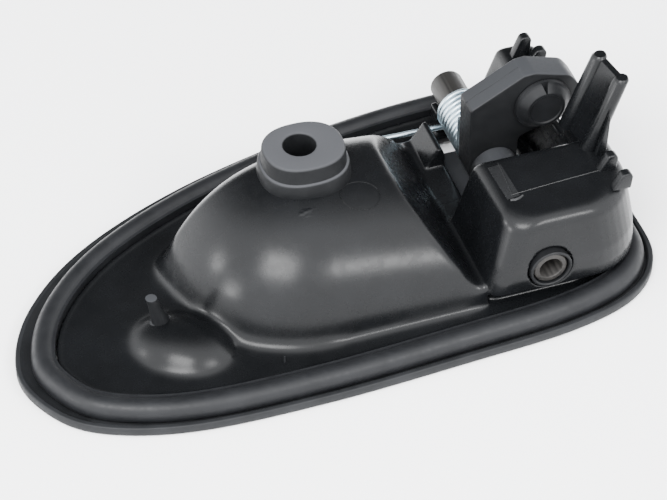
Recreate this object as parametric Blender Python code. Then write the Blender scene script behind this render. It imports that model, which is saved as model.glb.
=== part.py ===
"""Interior car door handle, lying on its front face with the hinge and the cup's back on top.

Lengths are millimetres in the part's own frame, and make_object() turns them into metres.
X runs along the handle from the finger cup's tip to the hinge, Y across it, and Z up, from the
bezel's front edge to the back. The origin is the middle of the handle's footprint.
"""

import math

import bmesh
import bpy
from mathutils import Vector

MM = 0.001
GAP = 0.3  # clearance between pieces that touch
WALL = 2.2  # wall of every moulding
ROUND = 24  # sides of an ordinary round piece

# Outline of the bezel, counterclockwise from the tip of the finger cup end.
OUTLINE = [
    (-80.6, -15.0),
    (-77.4, -29.0),
    (-67.0, -39.8),
    (-45.0, -46.6),
    (-12.0, -47.8),
    (24.0, -46.0),
    (52.0, -43.8),
    (70.0, -38.2),
    (79.4, -27.0),
    (80.6, -10.0),
    (79.6, 14.0),
    (74.0, 34.0),
    (60.0, 46.0),
    (42.0, 47.8),
    (10.0, 43.6),
    (-26.0, 34.0),
    (-55.0, 20.0),
    (-73.0, 3.0),
]
OUTLINE_STEPS = 5  # straight stretches between two outline points

# Bezel flange and seal
FLANGE_HEIGHT = 2.8
LIP_HEIGHT = 1.5
GROOVE_INSET = 1.8
SEAL_INSET = 2.3
SEAL_TOP = 6.4
SEAL_INNER = 8.4
END_SPREAD = 1.6  # how much further the seal stands off the flange at the cup's end

# Tray and cup
TRAY_OUTER = 8.7
TRAY_TOP = 3.6
TRAY_BOTTOM = 1.3
CUP_TIP_X = -39.5
CUP_RIDGE_X = -3.5
CUP_CREASE_X = 17.5
CUP_END_X = 32.2
CUP_CROWN_Y = 4.5
CUP_NEAR = 36.8  # half width towards -Y
CUP_FAR = 26.0  # half width towards +Y, where the handle is widest
CUP_TAPER = 0.35  # how fast the far half narrows towards the tip
CUP_TAPER_X = 8.0
CUP_BASE = 1.3
CUP_TOP = 31.0
CUP_CREASE_Z = 28.5
VALLEY_Z = 9.0
WINDOW_END_X = 61.5
WINDOW_NEAR_Y = -29.4  # near edge beside the hinge

# Screw boss on the cup
BOSS_HOLE = (-3.2, 2.5)
BOSS = (-2.4, 1.8)  # middle of the boss, which isn't quite on its hole
BOSS_SIZE = (20.6, 18.4)
BOSS_TOP = 37.6
BOSS_HOLE_R = 4.0

# Mound that carries the locating peg
MOUND_X = -41.0
MOUND_Y = -21.0
MOUND_LENGTH = 14.0  # half lengths of its oval foot
MOUND_WIDTH = 10.5
MOUND_RISE = 5.2

# Hinge
SHAFT_X = 48.7
SHAFT_Z = 13.3
SHAFT_R = 4.3
SHAFT_NEAR_Y = -33.9
SHAFT_FAR_Y = 39.6
SHAFT_BORE_R = 2.8
SHAFT_BORE_DEPTH = 14.0
BOX_NEAR_Y = -34.1
BOX_FAR_Y = -5.5
BOX_TOP = 27.3
BOX_LEFT_X = 32.6
BOX_LEFT_TOP_X = 39.4
BOX_RIGHT_X = 75.4
FOOT_TOP = 7.2  # the housings step in below this height, to clear the seal
FOOT_STEP = 3.5
BLOCK_NEAR_Y = 24.5
BLOCK_FAR_Y = 36.0
BLOCK_LEFT_X = 54.5
BLOCK_LEFT_TOP_X = 60.5
BLOCK_RIGHT_X = 71.0
SLOT_LEFT_X = 40.5  # slot in the near box's far wall, for the lever and its hub
SLOT_RIGHT_X = 57.5
SLOT_TOP = 21.0
HEEL_SLOT_RIGHT_X = 65.0  # its lower part is wider, for the lever's heel as it swings
HEEL_SLOT_TOP = 12.6
STAND_Z = TRAY_TOP + GAP
BUSH_R = 5.7
SADDLE_LEFT_X = 43.4
SADDLE_RIGHT_X = 54.0
SADDLE_TOP = 10.6

# Lever
LEVER_TIP_X = 2.5
LEVER_END_X = 55.5
LEVER_NEAR_Y = -27.0
LEVER_FAR_Y = 24.0
LEVER_FRONT_Z = 1.0
LEVER_BACK_Z = 4.0
HUB_R = 6.2
HUB_NEAR_Y = -28.0
HUB_FAR_Y = 5.2
BORE_R = 4.6

# Bellcrank arm, its rod clip and the return spring
ARM_NEAR_Y = 5.5
ARM_FAR_Y = 13.0
ARM_HUB_R = 6.4
CLIP_X = 61.0
CLIP_Z = 31.0
CLIP_STEM_R = 3.0
CLIP_SOCKET_R = 1.1
CLIP_FACE_R = 5.0
SPRING_WIRE_R = 0.72
SPRING_COIL_R = 5.65
SPRING_NEAR_Y = 14.2
SPRING_FAR_Y = 29.5
SPRING_TURNS = 9
SPRING_LEG = 21.0  # its far leg, from the shaft's axis

# Materials: colour, roughness, metallic
PLASTIC = ("black_plastic", (0.022, 0.023, 0.025), 0.35, 0.0)
FLANGE_PLASTIC = ("grained_plastic", (0.045, 0.047, 0.05), 0.6, 0.0)
SEAL_RUBBER = ("seal_rubber", (0.02, 0.021, 0.023), 0.75, 0.0)
SHAFT_STEEL = ("shaft_steel", (0.09, 0.085, 0.08), 0.5, 0.9)
SPRING_STEEL = ("spring_steel", (0.62, 0.68, 0.72), 0.25, 1.0)
CLIP_PLASTIC = ("clip_plastic", (0.016, 0.017, 0.019), 0.3, 0.0)
STOP_RUBBER = ("stop_rubber", (0.015, 0.015, 0.016), 0.85, 0.0)


# Shapes: each is a pair (points, faces) in millimetres


def ring_faces(first, second, count):
    """Quads between two closed loops of the same count."""
    faces = []
    for i in range(count):
        j = (i + 1) % count
        faces.append((first + i, first + j, second + j, second + i))
    return faces


def loft(loops):
    """A solid through closed loops, with flat caps at both ends."""
    count = len(loops[0])
    points = [p for loop in loops for p in loop]
    faces = [tuple(range(count))]
    for k in range(len(loops) - 1):
        faces += ring_faces(k * count, (k + 1) * count, count)
    last = (len(loops) - 1) * count
    faces.append(tuple(range(last, last + count)))
    return points, faces


def hoop(loops):
    """A ring-shaped solid: the loops go once round its cross-section."""
    count = len(loops[0])
    points = [p for loop in loops for p in loop]
    faces = []
    for k in range(len(loops)):
        faces += ring_faces(k * count, (k + 1) % len(loops) * count, count)
    return points, faces


def sheet(outer, inner):
    """A closed wall between two grids of points of the same size."""
    rows = len(outer)
    columns = len(outer[0])
    points = [p for row in outer for p in row] + [p for row in inner for p in row]
    half = rows * columns
    faces = []
    for i in range(rows - 1):
        for j in range(columns - 1):
            a = i * columns + j
            quad = (a, a + 1, a + columns + 1, a + columns)
            faces.append(quad)
            faces.append(tuple(half + k for k in quad))
    edge = [(0, j) for j in range(columns)]
    edge += [(i, columns - 1) for i in range(1, rows)]
    edge += [(rows - 1, j) for j in range(columns - 2, -1, -1)]
    edge += [(i, 0) for i in range(rows - 2, 0, -1)]
    for k, (i, j) in enumerate(edge):
        m, n = edge[(k + 1) % len(edge)]
        a = i * columns + j
        b = m * columns + n
        faces.append((a, b, half + b, half + a))
    return points, faces


def circle(centre, radius, sides, axis="z", start=0.0):
    """Points of a circle in the plane square to axis."""
    loop = []
    for i in range(sides):
        angle = start + 2 * math.pi * i / sides
        a = radius * math.cos(angle)
        b = radius * math.sin(angle)
        offset = {"x": (0, a, b), "y": (a, 0, b), "z": (a, b, 0)}[axis]
        loop.append(tuple(c + d for c, d in zip(centre, offset)))
    return loop


def turned(profile, centre, axis, sides=ROUND):
    """A solid or tube of revolution: profile lists (position along axis, radius)."""
    index = "xyz".index(axis)
    loops = []
    for along, radius in profile:
        point = list(centre)
        point[index] = along
        loops.append(circle(point, radius, sides, axis))
    return loops


def prism_y(outline, near, far, chamfer=0.0):
    """An outline of (x, z) points extruded along Y, with its edges drawn in by chamfer."""
    if not chamfer:
        return loft([[(x, y, z) for x, z in outline] for y in (near, far)])
    small = inset(outline, chamfer)
    loops = [
        [(x, near, z) for x, z in small],
        [(x, near + chamfer, z) for x, z in outline],
        [(x, far - chamfer, z) for x, z in outline],
        [(x, far, z) for x, z in small],
    ]
    return loft(loops)


def box(low, high):
    """A plain box between two corners."""
    outline = [(low[0], low[1]), (high[0], low[1]), (high[0], high[1]), (low[0], high[1])]
    return loft([[(x, y, z) for x, y in outline] for z in (low[2], high[2])])


def tube_along(path, radius, sides):
    """A round wire along a path of points."""
    path = [Vector(p) for p in path]
    loops = []
    side = None
    for i, point in enumerate(path):
        ahead = path[min(i + 1, len(path) - 1)] - path[max(i - 1, 0)]
        ahead.normalize()
        if side is None:
            side = ahead.orthogonal()
        side = (side - side.dot(ahead) * ahead).normalized()
        up = ahead.cross(side)
        loop = []
        for k in range(sides):
            angle = 2 * math.pi * k / sides
            loop.append(tuple(point + radius * (math.cos(angle) * side + math.sin(angle) * up)))
        loops.append(loop)
    return loft(loops)


def inset(outline, distance):
    """A closed 2-D outline moved inwards by distance."""
    area = 0.0
    for (x0, y0), (x1, y1) in zip(outline, outline[1:] + outline[:1]):
        area += x0 * y1 - x1 * y0
    turn = math.copysign(1.0, area)
    moved = []
    for i, (x, y) in enumerate(outline):
        ax, ay = outline[i - 1]
        bx, by = outline[(i + 1) % len(outline)]
        before = Vector((x - ax, y - ay)).normalized()
        after = Vector((bx - x, by - y)).normalized()
        normal = Vector((-before.y - after.y, before.x + after.x)) * turn
        normal.normalize()
        spread = max(0.5, normal.dot(Vector((-before.y, before.x)) * turn))
        step = normal * (distance / spread)
        moved.append((x + step.x, y + step.y))
    return moved


def smooth_loop(points, steps):
    """A closed smooth curve through the points."""
    count = len(points)
    curve = []
    for i in range(count):
        p = [Vector(points[(i + k - 1) % count]) for k in range(4)]
        for s in range(steps):
            t = s / steps
            spot = 2 * p[1] + (p[2] - p[0]) * t
            spot += (2 * p[0] - 5 * p[1] + 4 * p[2] - p[3]) * t * t
            spot += (3 * p[1] - p[0] - 3 * p[2] + p[3]) * t * t * t
            curve.append(tuple(spot / 2))
    return curve


def rounded(corners, steps=4):
    """An outline whose corners (x, y, radius) are rounded with arcs."""
    outline = []
    for i, (x, y, radius) in enumerate(corners):
        if not radius:
            outline.append((x, y))
            continue
        before = Vector(corners[i - 1][:2]) - Vector((x, y))
        after = Vector(corners[(i + 1) % len(corners)][:2]) - Vector((x, y))
        before.normalize()
        after.normalize()
        half = before.angle(after) / 2
        middle = Vector((x, y)) + (before + after).normalized() * radius / math.sin(half)
        start = Vector((x, y)) + before * radius / math.tan(half) - middle
        end = Vector((x, y)) + after * radius / math.tan(half) - middle
        sweep = start.angle_signed(end)
        for s in range(steps + 1):
            angle = -sweep * s / steps
            outline.append(
                (
                    middle.x + start.x * math.cos(angle) - start.y * math.sin(angle),
                    middle.y + start.x * math.sin(angle) + start.y * math.cos(angle),
                )
            )
    return outline


# Objects


def make_material(name, colour, roughness, metallic):
    material = bpy.data.materials.get(name)
    if material:
        return material
    material = bpy.data.materials.new(name)
    material.use_nodes = True
    shader = material.node_tree.nodes["Principled BSDF"]
    shader.inputs["Base Color"].default_value = (*colour, 1.0)
    shader.inputs["Roughness"].default_value = roughness
    shader.inputs["Metallic"].default_value = metallic
    return material


def make_object(name, shape, finish=None, origin=(0.0, 0.0, 0.0), parent=None):
    """A mesh object from a shape in millimetres, with its origin at a point of the part's frame."""
    points, faces = shape
    mesh = bpy.data.meshes.new(name)
    centre = Vector(origin)
    mesh.from_pydata([(Vector(p) - centre) * MM for p in points], [], faces)
    work = bmesh.new()
    work.from_mesh(mesh)
    bmesh.ops.remove_doubles(work, verts=work.verts, dist=1e-3 * MM)
    bmesh.ops.recalc_face_normals(work, faces=work.faces)
    work.to_mesh(mesh)
    work.free()
    mesh.shade_smooth()
    mesh.set_sharp_from_angle(angle=math.radians(35))
    obj = bpy.data.objects.new(name, mesh)
    bpy.context.scene.collection.objects.link(obj)
    obj.location = centre * MM
    if finish:
        mesh.materials.append(make_material(*finish))
    if parent:
        obj.parent = parent
        obj.matrix_parent_inverse = parent.matrix_world.inverted()
    return obj


def boolean(obj, shape, operation):
    """Cuts a shape from an object, or joins it on, with a hidden helper."""
    helper = make_object(f"{obj.name}_{operation.lower()}_{len(obj.modifiers)}", shape)
    helper.hide_render = True
    helper.display_type = "WIRE"
    modifier = obj.modifiers.new(helper.name, "BOOLEAN")
    modifier.operation = operation
    modifier.solver = "EXACT"
    modifier.object = helper


def cut(obj, shape):
    boolean(obj, shape, "DIFFERENCE")


def join(obj, shape):
    boolean(obj, shape, "UNION")


def make_axis(name, x, y, z):
    """An empty on a joint's axis, which the moving pieces hang from."""
    empty = bpy.data.objects.new(name, None)
    bpy.context.scene.collection.objects.link(empty)
    empty.location = Vector((x, y, z)) * MM
    bpy.context.view_layer.update()
    return empty


# The bezel, its seal and the tray


def rim_loop(distance, z, spread=0.0):
    """The bezel's outline moved in by distance, at height z, and drawn in more at the cup's end."""
    scale = 1 - spread / -OUTLINE[0][0]
    loop = inset(smooth_loop(OUTLINE, OUTLINE_STEPS), distance)
    return [(x * scale if x < 0 else x, y, z) for x, y in loop]


def build_flange():
    """The flange that covers the edge of the door trim, with the groove that the seal sits in."""
    loops = [
        rim_loop(0.9, 0.0),
        rim_loop(0.0, 0.9),
        rim_loop(0.0, FLANGE_HEIGHT - 0.3),
        rim_loop(0.4, FLANGE_HEIGHT),
        rim_loop(GROOVE_INSET - 0.5, FLANGE_HEIGHT),
        rim_loop(GROOVE_INSET, LIP_HEIGHT, END_SPREAD),
        rim_loop(SEAL_INNER, LIP_HEIGHT, END_SPREAD),
        rim_loop(SEAL_INNER, 0.0, END_SPREAD),
    ]
    make_object("bezel_flange", hoop(loops), FLANGE_PLASTIC)


def build_seal():
    """The rubber bead between the handle and the door trim."""
    bottom = LIP_HEIGHT + GAP
    profile = [
        (SEAL_INSET, bottom),
        (SEAL_INSET + 0.1, bottom + 2.0),
        (SEAL_INSET + 0.9, bottom + 3.6),
        (SEAL_INSET + 2.6, SEAL_TOP - 0.2),
        (SEAL_INSET + 4.2, SEAL_TOP),
        (SEAL_INNER - 1.0, SEAL_TOP - 0.3),
        (SEAL_INNER, SEAL_TOP - 0.9),
        (SEAL_INNER, bottom),
    ]
    loops = [rim_loop(distance, z, END_SPREAD) for distance, z in profile]
    make_object("rim_seal", hoop(loops), SEAL_RUBBER)


def cup_width(x):
    """How much of its full width the cup has at x, from 0 at its tip to 1 at the ridge."""
    u = max(0.0, (CUP_RIDGE_X - x) / (CUP_RIDGE_X - CUP_TIP_X))
    return max(0.0, 1 - u**2.2) ** (1 / 2.2)


def resample(outline, count):
    """The same closed outline with count points at even distances."""
    ring = [Vector(p) for p in outline] + [Vector(outline[0])]
    lengths = [(q - p).length for p, q in zip(ring, ring[1:])]
    step = sum(lengths) / count
    spots = []
    index = 0
    passed = 0.0
    for i in range(count):
        while index < len(lengths) - 1 and passed + lengths[index] < i * step:
            passed += lengths[index]
            index += 1
        spots.append(tuple(ring[index].lerp(ring[index + 1], (i * step - passed) / lengths[index])))
    return spots


def cup_half(x, side):
    """Half width of the cup at x, towards -Y where side is negative and +Y where it isn't."""
    return CUP_NEAR if side < 0 else CUP_FAR - CUP_TAPER * max(0.0, CUP_TAPER_X - x)


def foot_points(gap):
    """The cup's foot from the near side, round its tip, to the far side, moved out by gap."""
    points = []
    for i in range(-12, 13):
        angle = math.pi / 2 * i / 12
        x = CUP_RIDGE_X - (CUP_RIDGE_X - CUP_TIP_X + gap) * math.cos(angle) ** (2 / 2.2)
        half = cup_half(x, i) + gap
        share = math.copysign(abs(math.sin(angle)) ** (2 / 2.2), i)
        points.append((x, CUP_CROWN_Y + half * share))
    return points


def window_loop(z, count):
    """The tray's opening: round the cup's foot, then straight along the hinge window."""
    foot = foot_points(2 * GAP)
    near = foot[0][1]
    far = CUP_CROWN_Y + CUP_FAR + 2 * GAP
    corners = [(CUP_END_X + GAP, near), (CUP_END_X + 3.0, WINDOW_NEAR_Y)]
    corners += [(WINDOW_END_X, WINDOW_NEAR_Y), (WINDOW_END_X, far), (CUP_TAPER_X, far)]
    outline = foot[12::-1] + corners + foot[:12:-1]
    return [(x, y, z) for x, y in resample(outline, count)]


def build_tray():
    """The shallow well between the seal and the cup, which also carries the hinge."""
    outer = [
        rim_loop(TRAY_OUTER, TRAY_BOTTOM - 0.7, END_SPREAD),
        rim_loop(TRAY_OUTER, SEAL_TOP - 0.8, END_SPREAD),
        rim_loop(TRAY_OUTER + 0.9, SEAL_TOP - 1.0, END_SPREAD),
        rim_loop(TRAY_OUTER + 1.7, TRAY_TOP, END_SPREAD),
    ]
    count = len(outer[0])
    inner = window_loop(TRAY_TOP, count)
    lower = [(x, y, TRAY_BOTTOM) for x, y, z in inner]
    make_object("tray", hoop([*outer, inner, lower]), PLASTIC)


# The cup


def cup_height(x, side, shrink):
    """Height of the cup's wall at x, where side runs from -1 at the near foot to 1 at the far one."""
    u = max(0.0, (CUP_RIDGE_X - x) / (CUP_RIDGE_X - CUP_TIP_X - shrink))
    if side < 0:
        profile = max(0.0, 1 - (-side) ** 2.3) ** 0.5
    else:
        profile = 1 - side**2
    drop = (CUP_TOP - CUP_CREASE_Z) * max(0.0, x - CUP_RIDGE_X) / (CUP_CREASE_X - CUP_RIDGE_X)
    crown = (CUP_TOP - drop - shrink - CUP_BASE) * max(0.0, 1 - min(1.0, u) ** 2.4) ** 0.7
    arch = CUP_BASE + crown * profile
    slope = (CUP_CREASE_Z - VALLEY_Z) / (CUP_END_X - 0.5 - CUP_CREASE_X)
    ramp = CUP_CREASE_Z - shrink * 1.5 - slope * (x - CUP_CREASE_X)
    return min(arch, max(ramp, VALLEY_Z - shrink)) if x > CUP_CREASE_X - 1 else arch


def cup_grid(shrink):
    """Points of the cup's outer surface, or with shrink, of its inner one."""
    stations = []
    tip = CUP_TIP_X + shrink
    for i in range(11):
        stations.append(CUP_RIDGE_X - (CUP_RIDGE_X - tip) * math.cos(math.pi / 2 * i / 10))
    stations += [3.5, 10.5, CUP_CREASE_X - 1.5, CUP_CREASE_X, 21.0, 24.5, 28.0, 30.5, CUP_END_X]
    rows = []
    for x in stations:
        u = min(1.0, max(0.0, (CUP_RIDGE_X - x) / (CUP_RIDGE_X - tip)))
        width = max(0.0, 1 - u**2.2) ** (1 / 2.2)
        row = []
        for j in range(-12, 13):
            side = math.sin(math.pi / 2 * j / 12)
            half = cup_half(x, side) - shrink
            y = CUP_CROWN_Y + half * width * side
            row.append((x, y, cup_height(x, side, shrink)))
        rows.append(row)
    return rows


def build_cup():
    """The back of the finger cup, open to the front, with a ramp down to the hinge."""
    cup = make_object("cup_housing", sheet(cup_grid(0.0), cup_grid(WALL)), PLASTIC)
    cut(cup, loft(turned([(20.0, BOSS_HOLE_R), (45.0, BOSS_HOLE_R)], (*BOSS_HOLE, 0.0), "z")))


def boss_loop(grow, z=None, radius=None):
    """A loop round the boss: its oval outline, or its hole, at height z or on the cup."""
    loop = []
    for i in range(ROUND):
        angle = 2 * math.pi * i / ROUND
        c, s = math.cos(angle), math.sin(angle)
        if radius:
            x, y = BOSS_HOLE[0] + radius * c, BOSS_HOLE[1] + radius * s
        else:
            x = BOSS[0] + (BOSS_SIZE[0] / 2 + grow) * math.copysign(abs(c) ** 0.85, c)
            y = BOSS[1] + (BOSS_SIZE[1] / 2 + grow) * math.copysign(abs(s) ** 0.85, s)
        side = (y - CUP_CROWN_Y) / (cup_half(x, y - CUP_CROWN_Y) * cup_width(x))
        loop.append((x, y, cup_height(x, side, 0.0) + GAP if z is None else z))
    return loop


def build_boss():
    """The raised oval pad that the fixing screw pulls down on."""
    loops = [
        boss_loop(1.2),
        boss_loop(1.0, BOSS_TOP - 5.4),
        boss_loop(0.0, BOSS_TOP - 4.6),
        boss_loop(-0.3, BOSS_TOP - 0.5),
        boss_loop(-0.8, BOSS_TOP),
        boss_loop(0.0, BOSS_TOP, BOSS_HOLE_R),
        boss_loop(0.0, None, BOSS_HOLE_R),
        boss_loop(-2.6),
    ]
    make_object("screw_boss", hoop(loops), PLASTIC)


def mound_loop(spread, z):
    """An ellipse round the mound, its long axis pointing from the cup's tip towards the near side."""
    loop = []
    for i in range(28):
        turn = 2 * math.pi * i / 28
        along = MOUND_LENGTH * spread * math.cos(turn)
        across = MOUND_WIDTH * spread * math.sin(turn)
        loop.append((MOUND_X + 0.8 * along + 0.6 * across, MOUND_Y - 0.6 * along + 0.8 * across, z))
    return loop


def build_peg():
    """The leaning peg that finds the door's hole, on the mound at the foot of the cup."""
    loops = []
    for degrees in (0, 22, 42, 60, 76):
        spread = math.cos(math.radians(degrees))
        rise = math.sin(math.radians(degrees))
        loops.append(mound_loop(spread, STAND_Z + MOUND_RISE * rise))
    peg = make_object("locating_peg", loft(loops), PLASTIC)
    foot = foot_points(GAP + 0.1)
    cut(peg, loft([[(x, y, z) for x, y in foot] for z in (0.0, CUP_TOP)]))
    path = [(-44.2, -15.8, 5.5), (-44.6, -15.8, 8.5), (-46.6, -15.7, 16.4)]
    join(peg, tube_along(path, 1.5, 12))


# The hinge's housing


def box_loop(z, shrink, inward=0.0):
    """A loop round the near hinge box at height z, drawn in by shrink for its hollow."""
    share = max(0.0, (z - 13.0) / (BOX_TOP - 13.0))
    lean = max(0.0, (z - FOOT_TOP) / (BOX_TOP - FOOT_TOP))
    foot = FOOT_STEP if z < FOOT_TOP else 0.0
    grow = shrink + inward
    left = BOX_LEFT_X + lean * (BOX_LEFT_TOP_X - BOX_LEFT_X) + grow
    near = BOX_NEAR_Y + grow + foot + 3.0 * share
    right = BOX_RIGHT_X - grow - 1.6 * foot - 2.0 * share
    far = BOX_FAR_Y - grow
    corners = [(left, near, 4.5 - shrink), (right, near, 15.0 - shrink), (right, far, 1.0), (left, far, 1.0)]
    return [(x, y, z) for x, y in rounded(corners, 5)]


def build_hinge_box():
    """The hollow box that covers the near end of the hinge, open to the front and to the arm."""
    outer = [
        box_loop(STAND_Z, 0.0),
        box_loop(FOOT_TOP - 0.3, 0.0),
        box_loop(FOOT_TOP, 0.0),
        box_loop(14.0, 0.0),
        box_loop(BOX_TOP - 2.4, 0.0),
        box_loop(BOX_TOP - 0.8, 0.0, 0.7),
        box_loop(BOX_TOP, 0.0, 2.4),
    ]
    hinge_box = make_object("hinge_box", loft(outer), PLASTIC)
    hollow = [box_loop(z, WALL) for z in (0.0, FOOT_TOP + 1.8, FOOT_TOP + 2.1, BOX_TOP - WALL)]
    hollow[1] = [(x, y, FOOT_TOP + 1.8) for x, y, z in hollow[0]]
    cut(hinge_box, loft(hollow))
    cut(hinge_box, box((BOX_LEFT_X - 2, WINDOW_NEAR_Y, 0.0), (WINDOW_END_X, 0.0, FOOT_TOP - 0.6)))
    for right, top in ((SLOT_RIGHT_X, SLOT_TOP), (HEEL_SLOT_RIGHT_X, HEEL_SLOT_TOP)):
        cut(hinge_box, box((SLOT_LEFT_X, BOX_FAR_Y - 5, 0.0), (right, BOX_FAR_Y + 5, top)))
    bore = [(BOX_NEAR_Y - 5, BUSH_R), (BOX_NEAR_Y + 8, BUSH_R)]
    cut(hinge_box, loft(turned(bore, (SHAFT_X, 0.0, SHAFT_Z), "y")))


def block_loop(z, shrink, inward=0.0):
    """A loop round the far hinge block at height z."""
    lean = max(0.0, (z - FOOT_TOP) / (BOX_TOP - FOOT_TOP))
    foot = 1.0 if z < FOOT_TOP else 0.0
    grow = shrink + inward
    left = BLOCK_LEFT_X + lean * (BLOCK_LEFT_TOP_X - BLOCK_LEFT_X) + grow
    right = BLOCK_RIGHT_X - grow - 7.5 * foot
    far = BLOCK_FAR_Y - grow - 2.0 * lean - 4.5 * foot
    near = BLOCK_NEAR_Y + grow
    corner = 1.0 if shrink else 5.0
    corners = [(left, near, 1.0), (right, near, 1.0), (right, far, corner), (left, far, 1.0)]
    return [(x, y, z) for x, y in rounded(corners, 5)]


def build_hinge_block():
    """The smaller hollow block at the hinge's far end."""
    outer = [
        block_loop(STAND_Z, 0.0),
        block_loop(FOOT_TOP - 0.3, 0.0),
        block_loop(FOOT_TOP, 0.0),
        block_loop(BOX_TOP - 2.6, 0.0),
        block_loop(BOX_TOP - 1.2, 0.0, 0.7),
        block_loop(BOX_TOP - 0.4, 0.0, 2.2),
    ]
    block = make_object("hinge_block", loft(outer), PLASTIC)
    hollow = [block_loop(z, WALL) for z in (0.0, FOOT_TOP + 1.8, FOOT_TOP + 2.1, BOX_TOP - WALL - 0.6)]
    hollow[1] = [(x, y, FOOT_TOP + 1.8) for x, y, z in hollow[0]]
    cut(block, loft(hollow))


def build_saddle():
    """The open cradle that the far end of the shaft lies in."""
    cradle = box((SADDLE_LEFT_X, 31.6, STAND_Z), (SADDLE_RIGHT_X, 36.3, SADDLE_TOP))
    saddle = make_object("shaft_saddle", cradle, PLASTIC)
    bore = [(25.0, BORE_R), (45.0, BORE_R)]
    cut(saddle, loft(turned(bore, (SHAFT_X, 0.0, SHAFT_Z), "y")))


def build_hinge_floor():
    """The plate that bridges from the cup's ramp to the lever's slot."""
    low = (CUP_END_X + GAP, BOX_FAR_Y + GAP, VALLEY_Z - WALL)
    floor = box(low, (39.4, 26.0, VALLEY_Z))
    make_object("hinge_floor", floor, PLASTIC)


def build_spring_cover():
    """The curved wall beside the return spring."""
    outline = []
    for radius, angles in ((11.2, range(173, 201, 9)), (9.2, range(200, 172, -9))):
        for degrees in angles:
            angle = math.radians(degrees)
            outline.append((SHAFT_X + radius * math.cos(angle), SHAFT_Z + radius * math.sin(angle)))
    make_object("spring_cover", prism_y(outline, 14.2, 26.0), PLASTIC)


def build_end_wall():
    """The wall between the two hinge housings, tall where the guide post stands on it."""
    corners = [(-5.2, STAND_Z), (24.2, STAND_Z), (24.2, 20.0), (3.6, 20.0), (1.9, BOX_TOP)]
    corners.append((-5.2, BOX_TOP))
    faces = []
    for offset in (0.0, WALL):
        faces.append([(66.4 - 0.1 * y + offset, y, z) for y, z in corners])
    make_object("end_wall", loft(faces), PLASTIC)


def build_guide_post():
    """The leaning I-beam, two rods and a web, that guides the handle into the door."""
    near_foot = Vector((67.6, -9.9, BOX_TOP + GAP))
    near_head = Vector((75.0, -9.9, 47.4))
    shift = Vector((-1.6, 9.9, 0.0))
    post = make_object("guide_post", loft(post_rod(near_foot, near_head)), PLASTIC)
    join(post, loft(post_rod(near_foot + shift, near_head + shift)))
    thick = Vector((0.8, 0.1, 0.0))
    web = []
    for point in (near_foot, near_head - Vector((0, 0, 0.6))):
        ends = (point - thick, point + thick, point + shift + thick, point + shift - thick)
        web.append([tuple(p) for p in ends])
    join(post, loft(web))


def post_rod(foot, head):
    """Loops of one of the post's tapering rods, with a chamfered head."""
    neck = foot.lerp(head, 0.97)
    return [circle(foot, 2.3, 12), circle(neck, 1.9, 12), circle(head, 1.4, 12)]


def build_gusset():
    """The thin triangular plate behind the guide post."""
    base = BOX_TOP + GAP
    outline = [(67.6, base), (70.5, base), (71.0, 38.6), (70.6, 38.8)]
    make_object("post_gusset", prism_y(outline, -14.0, -12.6), PLASTIC)


def build_tabs():
    """The thumb-shaped tabs on the hinge housings' outer edges."""
    places = {
        "tab_near_1": (68.4, -18.4, BOX_TOP, 4.0),
        "tab_near_2": (69.4, -25.4, BOX_TOP, 3.6),
        "tab_far_1": (64.4, 29.2, BOX_TOP - 0.4, 5.6),
        "tab_far_2": (67.8, 26.6, BOX_TOP - 0.4, 2.6),
    }
    for name, (x, y, floor, height) in places.items():
        low = floor + GAP
        corners = [(x - 2.4, low, 0), (x + 2.4, low, 0), (x + 3.0, low + height, 1.4)]
        corners.append((x + 0.2, low + height, 1.4))
        make_object(name, prism_y(rounded(corners, 4), y - 1.3, y + 1.3, 0.3), PLASTIC)


# The shaft and what turns on it


def build_shaft():
    """The pivot shaft, with a hole in its near end."""
    profile = [
        (SHAFT_NEAR_Y, SHAFT_BORE_R + 0.2),
        (SHAFT_NEAR_Y, SHAFT_R - 0.4),
        (SHAFT_NEAR_Y + 0.4, SHAFT_R),
        (SHAFT_FAR_Y - 0.5, SHAFT_R),
        (SHAFT_FAR_Y, SHAFT_R - 0.6),
    ]
    hole = [(SHAFT_NEAR_Y + SHAFT_BORE_DEPTH, SHAFT_BORE_R)]
    loops = turned(hole + profile, (SHAFT_X, 0.0, SHAFT_Z), "y")
    make_object("pivot_shaft", loft(loops), SHAFT_STEEL)


def build_bush():
    """The plain bush that holds the shaft's near end in the hinge box."""
    near = BOX_NEAR_Y - 0.4
    profile = [(near, 4.6), (near, 5.4), (BOX_NEAR_Y + 3.6, 5.4), (BOX_NEAR_Y + 3.6, 4.6)]
    loops = turned(profile, (SHAFT_X, 0.0, SHAFT_Z), "y")
    make_object("shaft_bush", hoop(loops), PLASTIC)


def build_stop():
    """The soft pad under the hinge floor that the lever rests against."""
    pad = box((34.0, -3.0, LEVER_BACK_Z + GAP), (38.4, 12.0, VALLEY_Z - WALL - GAP))
    make_object("stop_pad", pad, STOP_RUBBER)


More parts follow.
